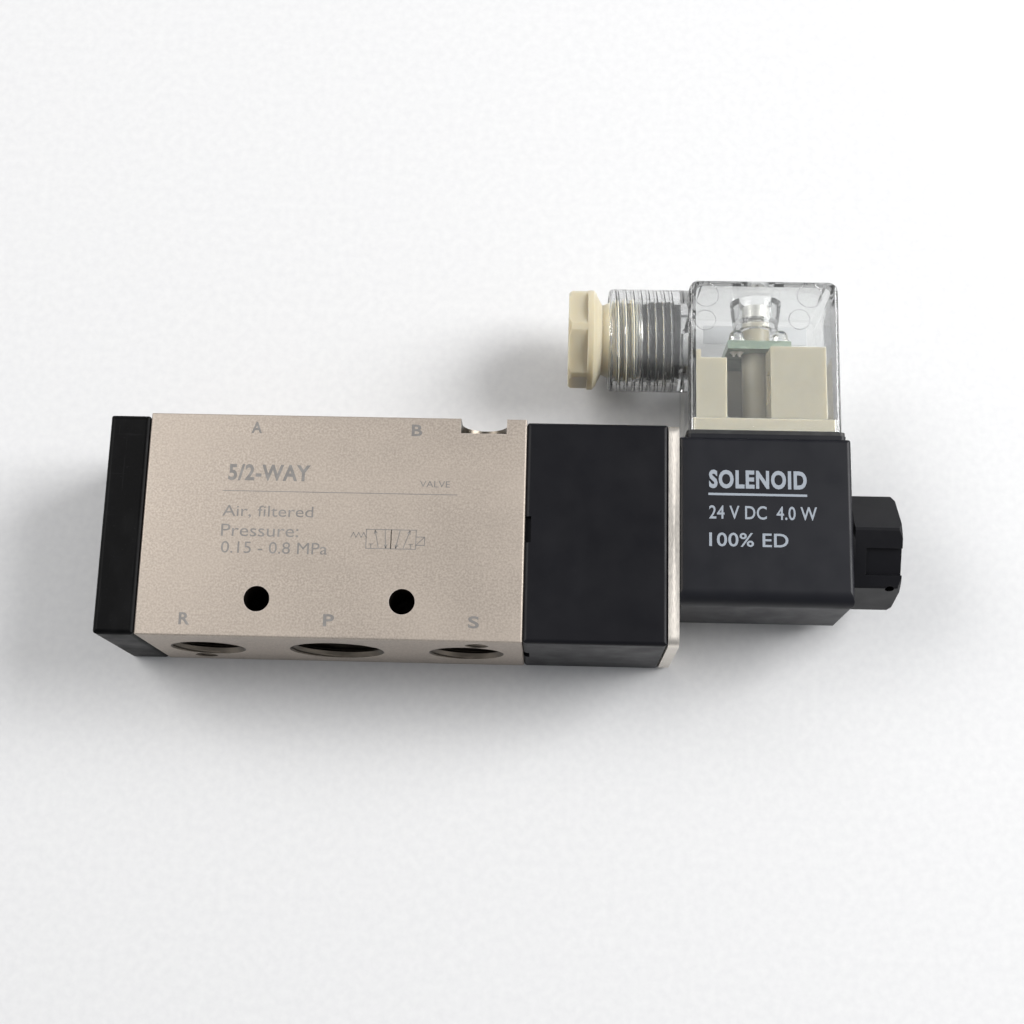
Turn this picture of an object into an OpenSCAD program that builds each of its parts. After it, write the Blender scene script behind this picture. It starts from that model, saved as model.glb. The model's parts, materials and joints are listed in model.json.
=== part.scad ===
// Solenoid directional valve, 5/2-way, single solenoid, spring return.
// Frame: the valve lies on its rear mounting face. +X runs along the spool towards the coil,
// +Y points to the A and B ports and the plug, +Z points out of the label face.
// The origin is midway between the two mounting holes, on the rear face.

/* [Valve body] */
// Length of the body along the spool
body_len = 67; // [66.5:0.5:67.5]
// Height of the body, from the R-P-S face to the A-B face
body_height = 40; // [40:0.5:41]
// Width of one valve, from the rear face to the label face
body_width = 27; // [27:0.5:28]
// Distance from the R-P-S face to the mounting holes
hole_edge = 6.7; // [6.6:0.1:6.8]
// Distance between the mounting holes
hole_pitch = 25.2; // [25:0.1:25.4]
// Diameter of the mounting holes
hole_d = 4.5; // [4.3:0.1:4.6]

/* [Ports] */
// Distance between the P port and each exhaust port
exhaust_offset = 23.3; // [23.2:0.1:23.5]
// Distance between the P port and each outlet port, along the spool
outlet_offset = 12.5; // [12.4:0.1:12.6]
// Wall radius inside the 3/8 pipe threads
big_port_r = 7.475; // [7.4:0.025:7.5]
// Wall radius inside the 1/4 pipe threads
small_port_r = 5.7225; // [5.7:0.0225:5.7225]
// Depth of the port threads
port_depth = 9.2; // [9:0.1:9.4]

/* [Spool] */
// Radius of the spool bore
bore_r = 8; // [7.95:0.05:8]
// Travel of the spool
spool_stroke = 4.5; // [4.3:0.1:4.5]

/* [End pieces] */
// Thickness of the end cap
cap_len = 7.3; // [7.2:0.1:7.6]
// Length of the pilot block
pilot_len = 25; // [25:0.1:25.2]
// Thickness of the fixed plate
plate_len = 1.9; // [1.8:0.1:1.9]

/* [Coil] */
// Length of the coil along the tube
coil_len = 30.5; // [30.4:0.1:30.6]
// Thickness of the coil
coil_width = 22; // [22:0.1:22.4]
// Outer radius of the armature tube
tube_r = 4.5; // [4.5:0.05:4.55]
// Travel of the armature
armature_stroke = 1.2; // [1:0.1:1.2]

/* [Plug] */
// Length of the plug housing
plug_len = 27.3; // [27.2:0.1:27.4]
// Thickness of the plug housing
plug_width = 21; // [21:0.1:21.2]
// Height of the plug housing
plug_height = 28.7; // [28.6:0.1:28.8]
// Outer diameter of the cable gland tube
gland_d = 19.2; // [19:0.1:19.4]

/* [Hidden] */
$fn = 64;
eps = 0.01;

// Ends of the body, and the spool axis
body_x0 = -body_len / 2;
body_x1 = body_len / 2;
body_y0 = -hole_edge;
body_y1 = body_height - hole_edge;
axis_y = body_height / 2 - hole_edge;
axis_z = body_width / 2;

// Stations along the valve
cap_x0 = body_x0 - cap_len;
pilot_x1 = body_x1 + pilot_len;
plate_x1 = pilot_x1 + plate_len;
coil_x0 = plate_x1 + 0.1;
coil_x1 = coil_x0 + coil_len;
coil_mid_x = (coil_x0 + coil_x1) / 2;
end_y1 = body_y1 - 0.5;

// Fasteners: clearance, thread and head radii of M3, and the tapping radius of M4
m3_clear_r = 1.65;
m3_r = 1.5;
m3_head_r = 2.75;
m4_tap_r = 1.65;
// Play that keeps touching pieces from sharing volume
play = 0.05;

// Places of the diagonal end screws as [Y, Z]
side_z = 4.5;
screw_low_y = body_y0 + 4.5;
screw_high_y = body_y1 - 5.7;
cap_screw_places = [[screw_low_y, body_width - side_z], [screw_high_y, side_z]];
long_screw_places = [[screw_low_y, side_z], [screw_high_y, body_width - side_z]];
short_screw_places = [[screw_low_y, body_width - side_z], [screw_high_y, side_z]];

// Galleries round the spool bore
gallery_r = 9;
gallery_half = 2.5;
gallery_places = [-exhaust_offset, -outlet_offset, 0, outlet_offset, exhaust_offset];

// Spool discs, each with one seal, at rest
seal_places = [-27.3, -12.9, -7.5, 12, 17.4, 31.5];
disc_half = 1.6;
disc_r = bore_r - 0.1;
seal_groove_r = 6.05;
seal_groove_half = 1;
seal_r = 0.93;
seal_ring_r = 7;
spool_neck_r = 4.2;
spool_x0 = -29.6;
spool_x1 = 38.3;

// Piston and its chamber in the pilot block
chamber_r = 10.5;
chamber_x1 = body_x1 + 10.4;
piston_r = 10.4;
piston_len = 5.2;
piston_x1 = chamber_x1 - 0.2;
piston_x0 = piston_x1 - piston_len;

// Pilot valve: seat, armature and tube
valve_room_x0 = body_x1 + 16.7;
seat_x0 = body_x1 + 12.5;
seat_x1 = body_x1 + 17.5;
tube_bore_r = 4;
tube_flange_r = 8;
tube_flange_x0 = pilot_x1 - 1.9;
armature_r = 3.92;
armature_x0 = seat_x1 + 0.15;
armature_body_x0 = tube_flange_x0 + 0.6;
armature_x1 = armature_body_x0 + 18.8;
core_x0 = armature_x1 + armature_stroke + 0.05;
core_x1 = coil_x1 + 6.6;
core_stud_r = 3.95;

// Manual override in the pilot block
override_x = body_x1 + 18;
override_r = 3;
override_top_y = end_y1 - 0.25;
pin_x = override_x - 2.85;
pin_y = end_y1 - 6.6;
pin_r = 0.75;

// Coil, its lip and its windings
coil_y0 = axis_y - 12;
coil_y1 = axis_y + 18.2;
coil_z0 = axis_z - coil_width / 2;
coil_z1 = axis_z + coil_width / 2;
lip_y1 = coil_y1 + 0.7;
tube_gap_r = tube_r + 0.1;
bobbin_flange_r = 9.4;
bobbin_core_r = 5.5;
frame_t = 1.5;
frame_x0 = coil_x0 + 0.3;
frame_x1 = coil_x1 - 0.3;
frame_y0 = axis_y - 10.9;
frame_y1 = axis_y + 10;
frame_half = 9;

// Coil nut
nut_x0 = coil_x1 + 0.15;
nut_x1 = coil_x1 + 8.85;
nut_r = 10.3;

// Plug: gasket, housing and terminals
gasket_y1 = lip_y1 + 0.75;
plug_x0 = coil_mid_x + 0.2 - plug_len / 2;
plug_x1 = plug_x0 + plug_len;
plug_y0 = gasket_y1;
plug_y1 = plug_y0 + plug_height;
plug_z0 = axis_z - plug_width / 2;
plug_z1 = axis_z + plug_width / 2;
wall = 1.4;
roof = 1;
flange_y1 = plug_y0 + 2.4;
block_left = [plug_x0 + 1.5, plug_x0 + 7];
block_right = [plug_x1 - 12.4, plug_x1 - 2.4];
block_left_y1 = plug_y0 + 14;
block_right_y1 = plug_y0 + 16.3;
block_z = [plug_z0 + 1.6, plug_z1 - 1.6];
sleeve_r = 2.6;
sleeve_y1 = plug_y1 - 5.4;
well_r = 3.2;
well_floor_y = plug_y1 - 4.5;
board_y = [plug_y0 + 17.1, plug_y0 + 18.7];
board_x = [coil_mid_x - 5.8, coil_mid_x + 5.8];
board_z = [axis_z - 8.3, axis_z + 5.2];

// Terminals: power blades as [X, Z], the earth blade, and the clamps
power_x = plug_x1 - 7.5;
power_places = [[power_x, axis_z - 5.5], [power_x, axis_z + 5.5]];
earth_x = plug_x0 + 4.7;
blade_w = 6.3;
blade_t = 0.8;
blade_y0 = coil_y1 - 6;
blade_y1 = plug_y0 + 9;
clamp_y = [plug_y0 + 3, plug_y0 + 12.4];

// Cable gland
gland_y = plug_y1 - 8.35;
gland_x0 = plug_x0 - 14.3;
gland_r = gland_d / 2;
gland_bore_r = 7.7;
gland_neck_r = 7;
gland_groove_r = 6.5;
gland_seat_x = plug_x0 - 1.2;
gland_hole_r = 4.6;
gland_nut_x0 = gland_x0 - 7.4;
gland_collar_x0 = gland_nut_x0 + 3.5;
gland_collar_x1 = gland_nut_x0 + 5.2;
gland_neck_x1 = gland_x0 + 5.4;

// ---------- shared shapes ----------

// Cylinder along +X between two stations
module x_rod(x0, x1, r, y = axis_y, z = axis_z) {
    translate([x0, y, z]) rotate([0, 90, 0]) cylinder(h = x1 - x0, r = r);
}

// Cone along +X between two stations
module x_cone(x0, x1, r0, r1, y = axis_y, z = axis_z) {
    translate([x0, y, z]) rotate([0, 90, 0]) cylinder(h = x1 - x0, r1 = r0, r2 = r1);
}

// Cylinder or cone along +Y between two stations
module y_cone(y0, y1, r0, r1, x, z = axis_z) {
    translate([x, y0, z]) rotate([-90, 0, 0]) cylinder(h = y1 - y0, r1 = r0, r2 = r1);
}

module y_rod(y0, y1, r, x, z = axis_z) {
    y_cone(y0, y1, r, r, x, z);
}

// Cylinder along +Z between two stations
module z_rod(z0, z1, r, x, y) {
    translate([x, y, z0]) cylinder(h = z1 - z0, r = r);
}

// Straight drilled hole between two points
module drill(from, to, r) {
    run = to - from;
    flat = norm([run[0], run[1]]);
    translate(from) rotate([0, 0, atan2(run[1], run[0])]) rotate([0, atan2(flat, run[2]), 0])
        cylinder(h = norm(run), r = r);
}

// Box given by its ranges
module block(x, y, z) {
    translate([x[0], y[0], z[0]]) cube([x[1] - x[0], y[1] - y[0], z[1] - z[0]]);
}

// Rectangle with round corners
module round_rect(x, y, r) {
    translate([x[0] + r, y[0]]) square([x[1] - x[0] - 2 * r, y[1] - y[0]]);
    translate([x[0], y[0] + r]) square([x[1] - x[0], y[1] - y[0] - 2 * r]);
    for (cx = [x[0] + r, x[1] - r], cy = [y[0] + r, y[1] - r])
        translate([cx, cy]) circle(r = r);
}

// Extrusions of a flat shape: drawn in XY and raised along Z, or drawn in YZ and run along X
module raise(z) {
    translate([0, 0, z[0]]) linear_extrude(z[1] - z[0]) children();
}

module run_x(x) {
    translate([x[0], 0, 0]) rotate([90, 0, 90]) linear_extrude(x[1] - x[0]) children();
}

// Drawn as [X, Z] and run along Y
module run_y(y) {
    translate([0, y[1], 0]) rotate([90, 0, 0]) linear_extrude(y[1] - y[0]) children();
}

// Box whose twelve edges are rounded
module soft_block(x, y, z, r) {
    intersection() {
        raise(z) round_rect(x, y, r);
        run_x(x) round_rect(y, z, r);
        run_y(y) round_rect(x, z, r);
    }
}

// Ring of round section whose axis is X
module x_seal(x, ring_r, section_r, y = axis_y, z = axis_z) {
    translate([x, y, z]) rotate([0, 90, 0])
        rotate_extrude() translate([ring_r, 0]) circle(r = section_r, $fn = 24);
}

// Helical spring along +Z of its own frame, from the origin to len
module spring(len, mean_r, wire_r, turns) {
    steps = 14;
    sides = 6;
    rings = turns * steps;
    rise = (len - 2 * wire_r) / rings;
    points = [for (i = [0:rings], s = [0:sides - 1])
        let (turn = 360 * i / steps, a = 360 * s / sides, r = mean_r + wire_r * cos(a))
            [r * cos(turn), r * sin(turn), wire_r + rise * i + wire_r * sin(a)]];
    walls = [for (i = [0:rings - 1], s = [0:sides - 1])
        let (n = (s + 1) % sides)
            [i * sides + s, (i + 1) * sides + s, (i + 1) * sides + n, i * sides + n]];
    start = [[for (s = [0:sides - 1]) s]];
    finish = [[for (s = [sides - 1:-1:0]) rings * sides + s]];
    polyhedron(points, concat(walls, start, finish), convexity = 8);
}

// Machine screw along -Z of its own frame: flat head whose top is at the origin
module flat_screw(len) {
    head_h = 1.5;
    difference() {
        union() {
            translate([0, 0, -len]) cylinder(h = len, r = m3_r - play);
            translate([0, 0, -head_h]) cylinder(h = head_h, r1 = m3_r - play, r2 = m3_head_r - play);
        }
        cross_slot(2.6, 0.6, 0.9);
    }
}

// Machine screw with a round head whose seat is at the origin
module pan_screw(len, head_r, head_h) {
    difference() {
        union() {
            translate([0, 0, -len]) cylinder(h = len, r = m3_r - play);
            cylinder(h = head_h, r = head_r);
        }
        translate([0, 0, head_h]) cross_slot(head_r * 1.1, 0.6, head_h * 0.55);
    }
}

// Cross recess that opens upwards at the origin
module cross_slot(reach, gap, depth) {
    for (turn = [0, 90])
        rotate([0, 0, turn]) translate([-reach / 2, -gap / 2, -depth]) cube([reach, gap, depth + 1]);
}

// Puts a Z-up piece so that its +Z points along -X or +X
module face_left(x, place) {
    translate([x, place[0], place[1]]) rotate([0, -90, 0]) children();
}

module face_right(x, place) {
    translate([x, place[0], place[1]]) rotate([0, 90, 0]) children();
}

// ---------- valve body ----------

// Threaded port with its mouth bevel, its drill point and its way to the gallery
module port_cut(x, r, up) {
    face_y = up ? body_y1 : body_y0;
    reach = gallery_r - 0.9;
    gallery_y = up ? axis_y + reach : axis_y - reach;
    mouth = r + 1;
    translate([x, face_y, axis_z]) rotate([up ? 90 : -90, 0, 0]) {
        translate([0, 0, -1]) cylinder(h = port_depth + 1, r = r);
        translate([0, 0, -eps]) cylinder(h = mouth - r + 0.1, r1 = mouth, r2 = r - 0.1);
        translate([0, 0, port_depth - eps]) cylinder(h = (r - 2.3) * 0.3, r1 = r, r2 = 2.3);
        cylinder(h = abs(gallery_y - face_y), r = 2.3);
    }
}

module valve_body() {
    color([0.77, 0.71, 0.65]) difference() {
        soft_block([body_x0, body_x1], [body_y0, body_y1], [0, body_width], 0.4);
        x_rod(body_x0 - 1, body_x1 + 1, bore_r);
        for (x = gallery_places)
            x_rod(x - gallery_half, x + gallery_half, gallery_r);
        port_cut(0, big_port_r, false);
        for (side = [-1, 1]) {
            port_cut(side * exhaust_offset, small_port_r, false);
            port_cut(side * outlet_offset, big_port_r, true);
            z_rod(-1, body_width + 1, hole_d / 2, side * hole_pitch / 2, 0);
        }
        manifold_hole(-25.5, 4.7);
        manifold_hole(25.5, body_width - 4.7);
        name_clip_notch();
        for (place = cap_screw_places)
            x_rod(body_x0 - 1, body_x0 + 8.5, m3_r, place[0], place[1]);
        for (place = long_screw_places)
            x_rod(body_x1 - 9, body_x1 + 1, m3_r, place[0], place[1]);
        pilot_supply_drilling();
    }
}

// Blind M4 hole in the R-P-S face, for a manifold screw
module manifold_hole(x, z) {
    y_rod(body_y0 - 1, body_y0 + 8, m4_tap_r, x, z);
    y_cone(body_y0 - eps, body_y0 + 0.5, m4_tap_r + 0.45, m4_tap_r, x, z);
}

// Round-ended notch in the A-B face, open to the label face
module name_clip_notch() {
    notch_w = 8.1;
    notch_x = body_x1 - 7.65;
    depth = 2.8;
    inner_z = body_width - 8 + notch_w / 2;
    block([notch_x - notch_w / 2, notch_x + notch_w / 2], [body_y1 - depth, body_y1 + 1],
        [inner_z, body_width + 1]);
    y_rod(body_y1 - depth, body_y1 + 1, notch_w / 2, notch_x, inner_z);
}

// Angled drilling that takes air from the P gallery to the pilot block
module pilot_supply_drilling() {
    drill([body_x1 + 0.5, axis_y + 9.95, axis_z + 9.95], [1.5, axis_y + 6.1, axis_z + 6.1], 0.9);
}

// ---------- end cap ----------

cap_pocket_r = 5.4;
cap_pocket_x = cap_x0 + 2.2;

module end_cap() {
    color([0.14, 0.14, 0.15]) difference() {
        soft_block([cap_x0, body_x0], [body_y0, end_y1], [0, body_width], 0.9);
        x_rod(cap_pocket_x, body_x0 + 1, cap_pocket_r);
        x_rod(body_x0 - 0.7, body_x0 + 1, bore_r + 2.5);
        for (place = cap_screw_places) {
            x_rod(cap_x0 - 1, body_x0 + 1, m3_clear_r, place[0], place[1]);
            x_rod(cap_x0 - 1, cap_x0 + 3, m3_head_r + 0.35, place[0], place[1]);
        }
    }
}

module end_cap_gasket() {
    color([0.08, 0.08, 0.08]) difference() {
        x_rod(body_x0 - 0.7 + play, body_x0 - play, bore_r + 2.4);
        x_rod(body_x0 - 1, body_x0 + 1, bore_r + 0.2);
    }
}

module end_cap_screws() {
    color([0.72, 0.72, 0.7])
        for (place = cap_screw_places)
            face_left(cap_x0 + 3 - play, place) pan_screw(12, m3_head_r, 2);
}

module return_spring() {
    color([0.75, 0.75, 0.75])
        translate([cap_pocket_x + play, axis_y, axis_z]) rotate([0, 90, 0])
            spring(spool_pocket_x - cap_pocket_x - 2 * play, 3, 0.4, 8);
}

// ---------- spool and piston ----------

spool_pocket_x = -24;

module spool() {
    color([0.8, 0.8, 0.82]) difference() {
        union() {
            x_rod(spool_x0, spool_x1, spool_neck_r);
            for (x = seal_places)
                x_rod(x - disc_half, x + disc_half, disc_r);
        }
        for (x = seal_places) difference() {
            x_rod(x - seal_groove_half, x + seal_groove_half, bore_r + 1);
            x_rod(x - 2, x + 2, seal_groove_r);
        }
        x_rod(spool_x0 - 1, spool_pocket_x, 3.6);
        x_rod(spool_x1 - 6, spool_x1 + 1, 2);
    }
}

module spool_seals() {
    color([0.1, 0.1, 0.1])
        for (x = seal_places)
            x_seal(x, seal_ring_r, seal_r);
}

module piston() {
    color([0.85, 0.83, 0.78]) difference() {
        union() {
            x_rod(piston_x0, piston_x1, piston_r);
            x_rod(piston_x0 - 1.1, piston_x1 - 1, 1.9);
        }
        difference() {
            x_rod(piston_x0 + 2.6, piston_x0 + 4.4, chamber_r + 1);
            x_rod(piston_x0, piston_x1, 8.2);
        }
        difference() {
            x_rod(piston_x0 + 0.8, piston_x0 + 1.9, chamber_r + 1);
            x_rod(piston_x0, piston_x1, 9.3);
        }
    }
}

// Lip seal that opens towards the pilot pressure
module piston_seal() {
    x0 = piston_x0 + 2.6 + play;
    x1 = piston_x0 + 4.4 - play;
    color([0.1, 0.1, 0.1]) difference() {
        x_rod(x0, x1, piston_r + 0.06);
        x_rod(x0 - 1, x1 + 1, 8.25);
        difference() {
            x_cone(x0 + 0.6, x1 + eps, 9.4, 10, axis_y, axis_z);
            x_cone(x0 + 0.5, x1 + 0.1, 9.3, 8.8, axis_y, axis_z);
        }
    }
}

module piston_wear_ring() {
    x0 = piston_x0 + 0.8 + play;
    x1 = piston_x0 + 1.9 - play;
    color([0.9, 0.88, 0.82]) difference() {
        x_rod(x0, x1, piston_r + 0.05);
        x_rod(x0 - 1, x1 + 1, 9.35);
    }
}

// ---------- pilot block ----------

gasket_t = 0.7;
gasket_y = [body_y0 + 2.6, body_y1 - 2.6];
gasket_z = [2, body_width - 2];
pilot_feed = [axis_y + 9.95, axis_z + 9.95];

module pilot_block() {
    color([0.13, 0.13, 0.14]) difference() {
        soft_block([body_x1, pilot_x1], [body_y0, end_y1], [0, body_width], 0.8);
        x_rod(body_x1 - 1, chamber_x1, chamber_r);
        run_x([body_x1 - 1, body_x1 + gasket_t]) round_rect(gasket_y, gasket_z, 2.5);
        // room of the armature, the seat and the tube flange
        x_rod(valve_room_x0, pilot_x1 + 1, 3.4);
        x_rod(tube_flange_x0 - 1.5, pilot_x1 + 1, 6.6);
        x_rod(tube_flange_x0, pilot_x1 + 1, tube_flange_r + 0.1);
        x_rod(seat_x0, valve_room_x0 + 1, 2);
        // pilot air in, to the back of the seat, and out, to the piston
        x_rod(body_x1 - 1, seat_x0 - 0.4, 0.9, pilot_feed[0], pilot_feed[1]);
        drill([seat_x0 - 0.6, pilot_feed[0], pilot_feed[1]], [seat_x0 - 0.6, axis_y, axis_z], 0.6);
        x_rod(seat_x0 - 1.2, seat_x0 + 1, 0.6);
        x_rod(chamber_x1 - 1, valve_room_x0 + 1, 0.7, axis_y - 2.9);
        override_bore();
        for (place = long_screw_places)
            x_rod(body_x1 - 1, pilot_x1 + 1, m3_clear_r, place[0], place[1]);
        for (place = short_screw_places)
            x_rod(pilot_x1 - 8, pilot_x1 + 1, m3_r, place[0], place[1]);
        // mould slots where the block meets the body
        block([body_x1 - 1, body_x1 + 1.1], [axis_y - 2.35, axis_y + 2.35],
            [body_width - 1.2, body_width + 1]);
        block([body_x1 - 1, body_x1 + 1.1], [body_y0 - 1, body_y0 + 1.2], [axis_z - 2.35, axis_z + 2.35]);
    }
}

// Stepped hole of the manual override, with its pin hole from the rear face
module override_bore() {
    y_rod(pin_y - 7.3, end_y1 + 1, override_r + 0.1, override_x);
    y_cone(end_y1 - 0.5, end_y1 + eps, override_r + 0.1, override_r + 0.6, override_x);
    y_rod(axis_y, pin_y, 1.45, override_x);
    z_rod(-1, axis_z + 3, pin_r + play, pin_x, pin_y);
}

module pilot_gasket() {
    color([0.08, 0.08, 0.08]) difference() {
        run_x([body_x1 + play, body_x1 + gasket_t - play])
            round_rect([gasket_y[0] + 0.1, gasket_y[1] - 0.1], [gasket_z[0] + 0.1, gasket_z[1] - 0.1], 2.4);
        x_rod(body_x1 - 1, body_x1 + 2, chamber_r + 0.4);
        x_rod(body_x1 - 1, body_x1 + 2, 1.2, pilot_feed[0], pilot_feed[1]);
        for (place = long_screw_places)
            x_rod(body_x1 - 1, body_x1 + 2, m3_clear_r + 0.2, place[0], place[1]);
    }
}

module orifice_seat() {
    color([0.8, 0.66, 0.3]) difference() {
        union() {
            x_rod(seat_x0 + play, seat_x1 - 1.1, 1.95);
            x_cone(seat_x1 - 1.1, seat_x1, 1.6, 0.9);
        }
        x_rod(seat_x0 - 1, seat_x1 + 1, 0.45);
    }
}

module pilot_screws() {
    color([0.74, 0.73, 0.7])
        for (place = long_screw_places)
            face_right(plate_x1 - play, place) flat_screw(35);
}

// ---------- manual override ----------

// Round button with a screwdriver slot; its waist holds the pin, and its tip lifts the armature
module override_button() {
    waist_y0 = pin_y - pin_r - 0.1;
    waist_y1 = pin_y + pin_r + 1.6;
    color([0.82, 0.68, 0.32]) difference() {
        union() {
            y_rod(waist_y1, override_top_y, override_r, override_x);
            y_rod(waist_y0 - 3.2, waist_y1 + eps, 2, override_x);
            y_rod(waist_y0 - 0.7, waist_y0, override_r, override_x);
            y_rod(waist_y0 - 3.2, waist_y0 - 2.4, override_r, override_x);
            y_rod(pin_y - 8.45, waist_y0 - 3.1, 1.2, override_x);
            y_cone(pin_y - 9.05, pin_y - 8.45 + eps, 0.6, 1.2, override_x);
        }
        block([override_x - 3.5, override_x + 3.5], [override_top_y - 1, override_top_y + 1],
            [axis_z - 0.45, axis_z + 0.45]);
    }
}

module override_seal() {
    color([0.1, 0.1, 0.1])
        translate([override_x, pin_y - pin_r - 0.1 - 1.55, axis_z]) rotate([90, 0, 0])
            rotate_extrude() translate([2.55, 0]) circle(r = 0.5, $fn = 24);
}

module override_spring() {
    floor_y = pin_y - 7.3 + play;
    top_y = pin_y - pin_r - 0.1 - 3.2 - play;
    color([0.75, 0.75, 0.75])
        translate([override_x, floor_y, axis_z]) rotate([-90, 0, 0])
            spring(top_y - floor_y, 2.1, 0.3, 3);
}

module override_pin() {
    color([0.7, 0.7, 0.7]) z_rod(0.4, axis_z + 2.9, pin_r, pin_x, pin_y);
}

// ---------- fixed plate, tube and armature ----------

module fixed_plate() {
    color([0.72, 0.71, 0.68]) difference() {
        run_x([pilot_x1, plate_x1]) round_rect([body_y0, end_y1], [0, body_width], 1.6);
        x_rod(pilot_x1 - 1, plate_x1 + 1, tube_r + 0.1);
        for (place = concat(long_screw_places, short_screw_places)) {
            x_rod(pilot_x1 - 1, plate_x1 + 1, m3_clear_r, place[0], place[1]);
            x_cone(plate_x1 - 1.5 - play, plate_x1 + eps, m3_r + 0.1, m3_head_r + 0.1, place[0], place[1]);
        }
    }
}

module plate_screws() {
    color([0.74, 0.73, 0.7])
        for (place = short_screw_places)
            face_right(plate_x1 - play, place) flat_screw(9);
}

module armature_tube() {
    color([0.78, 0.76, 0.72]) difference() {
        union() {
            x_rod(tube_flange_x0 + play, pilot_x1 - play, tube_flange_r);
            x_rod(pilot_x1 - 1, coil_x1 - 1, tube_r);
        }
        x_rod(tube_flange_x0 - 1, coil_x1 + 1, tube_bore_r);
    }
}

module tube_seal() {
    color([0.1, 0.1, 0.1]) x_seal(tube_flange_x0 - 0.72, 5.1, 0.7);
}

// Magnetic core with the stud that carries the coil nut
module fixed_core() {
    color([0.7, 0.7, 0.7]) difference() {
        union() {
            x_rod(core_x0, core_x1 - 0.6, core_stud_r);
            x_cone(core_x1 - 0.6, core_x1, core_stud_r, core_stud_r - 0.6);
        }
        x_rod(core_x0 - 1, core_x0 + 1.5, 2.2);
    }
}

module armature() {
    color([0.68, 0.68, 0.7]) difference() {
        union() {
            x_rod(armature_x0, armature_body_x0 + 1, 2.2);
            x_rod(armature_x0 + 1.7, armature_x0 + 2.9, 3.2);
            x_rod(armature_body_x0, armature_x1, armature_r);
        }
        x_rod(armature_x0 - 1, armature_x0 + 1.2, 1.5);
        x_rod(armature_x1 - 6, armature_x1 + 1, 2.2);
    }
}

module armature_seal() {
    color([0.1, 0.1, 0.1]) x_rod(armature_x0 - 0.1, armature_x0 + 1.2 - play, 1.45);
}

module armature_spring() {
    x0 = armature_x1 - 6 + play;
    x1 = core_x0 + 1.5 - play;
    color([0.75, 0.75, 0.75])
        translate([x0, axis_y, axis_z]) rotate([0, 90, 0]) spring(x1 - x0, 1.7, 0.25, 8);
}

// ---------- coil ----------

// Outline of the moulded coil, with larger radii along its lower edges
module coil_section() {
    low_r = 2.7;
    high_r = 0.8;
    y_low = coil_y0 + low_r;
    union() {
        round_rect([coil_y0, coil_y1 - 5], [coil_z0, coil_z1], low_r);
        round_rect([y_low, coil_y1], [coil_z0, coil_z1], high_r);
    }
}

module coil_shell() {
    color([0.15, 0.15, 0.17]) difference() {
        union() {
            intersection() {
                run_x([coil_x0, coil_x1]) coil_section();
                raise([coil_z0, coil_z1]) round_rect([coil_x0, coil_x1], [coil_y0, coil_y1], 0.8);
                run_y([coil_y0, coil_y1]) round_rect([coil_x0, coil_x1], [coil_z0, coil_z1], 0.8);
            }
            run_y([coil_y1 - 1, lip_y1])
                round_rect([coil_x0 + 1.4, coil_x1 - 0.7], [coil_z0 + 0.5, coil_z1 - 0.5], 1);
        }
        x_rod(coil_x0 - 1, coil_x1 + 1, tube_gap_r);
        // room for the steel frame
        for (x = [coil_x0 - 1, frame_x1 - frame_t - play])
            block([x, x + frame_t + 1 + 0.3 + 2 * play], [frame_y0 - play, frame_y1 + play],
                [axis_z - frame_half - play, axis_z + frame_half + play]);
        block([coil_x0, coil_x1], [frame_y0 - play, frame_y0 + frame_t + play],
            [axis_z - frame_half - play, axis_z + frame_half + play]);
        x_rod(coil_x0, coil_x1, bobbin_flange_r + play);
        for (place = power_places)
            blade_slot(place[0], place[1], blade_w, blade_t);
        blade_slot(earth_x, axis_z, blade_t, blade_w - 1.5);
        y_rod(coil_y1 - 6, lip_y1 + 1, 2.5 + play, coil_mid_x);
    }
}

module blade_slot(x, z, w, t) {
    block([x - w / 2 - play, x + w / 2 + play], [blade_y0 - play, lip_y1 + 1],
        [z - t / 2 - play, z + t / 2 + play]);
}

module coil_frame() {
    color([0.62, 0.62, 0.6]) difference() {
        union() {
            for (x = [frame_x0, frame_x1 - frame_t])
                block([x, x + frame_t], [frame_y0, frame_y1], [axis_z - frame_half, axis_z + frame_half]);
            block([frame_x0, frame_x1], [frame_y0, frame_y0 + frame_t],
                [axis_z - frame_half, axis_z + frame_half]);
        }
        x_rod(coil_x0 - 1, coil_x1 + 1, tube_gap_r);
    }
}

bobbin_x0 = frame_x0 + frame_t + play;
bobbin_x1 = frame_x1 - frame_t - play;
bobbin_flange_t = 1.2;

module coil_bobbin() {
    color([0.85, 0.83, 0.75]) difference() {
        union() {
            x_rod(bobbin_x0, bobbin_x1, bobbin_core_r);
            x_rod(bobbin_x0, bobbin_x0 + bobbin_flange_t, bobbin_flange_r);
            x_rod(bobbin_x1 - bobbin_flange_t, bobbin_x1, bobbin_flange_r);
        }
        x_rod(bobbin_x0 - 1, bobbin_x1 + 1, tube_gap_r);
    }
}

module coil_winding() {
    x0 = bobbin_x0 + bobbin_flange_t + play;
    x1 = bobbin_x1 - bobbin_flange_t - play;
    color([0.72, 0.42, 0.2]) difference() {
        x_rod(x0, x1, bobbin_flange_r - 0.3);
        x_rod(x0 - 1, x1 + 1, bobbin_core_r + play);
    }
}

module blade(x, z, w, t) {
    block([x - w / 2, x + w / 2], [blade_y0, blade_y1 - 0.6], [z - t / 2, z + t / 2]);
    block([x - w * 0.4, x + w * 0.4], [blade_y1 - 1, blade_y1], [z - t / 2, z + t / 2]);
}

module power_terminals() {
    color([0.8, 0.78, 0.72])
        for (place = power_places)
            blade(place[0], place[1], blade_w, blade_t);
}

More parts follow.
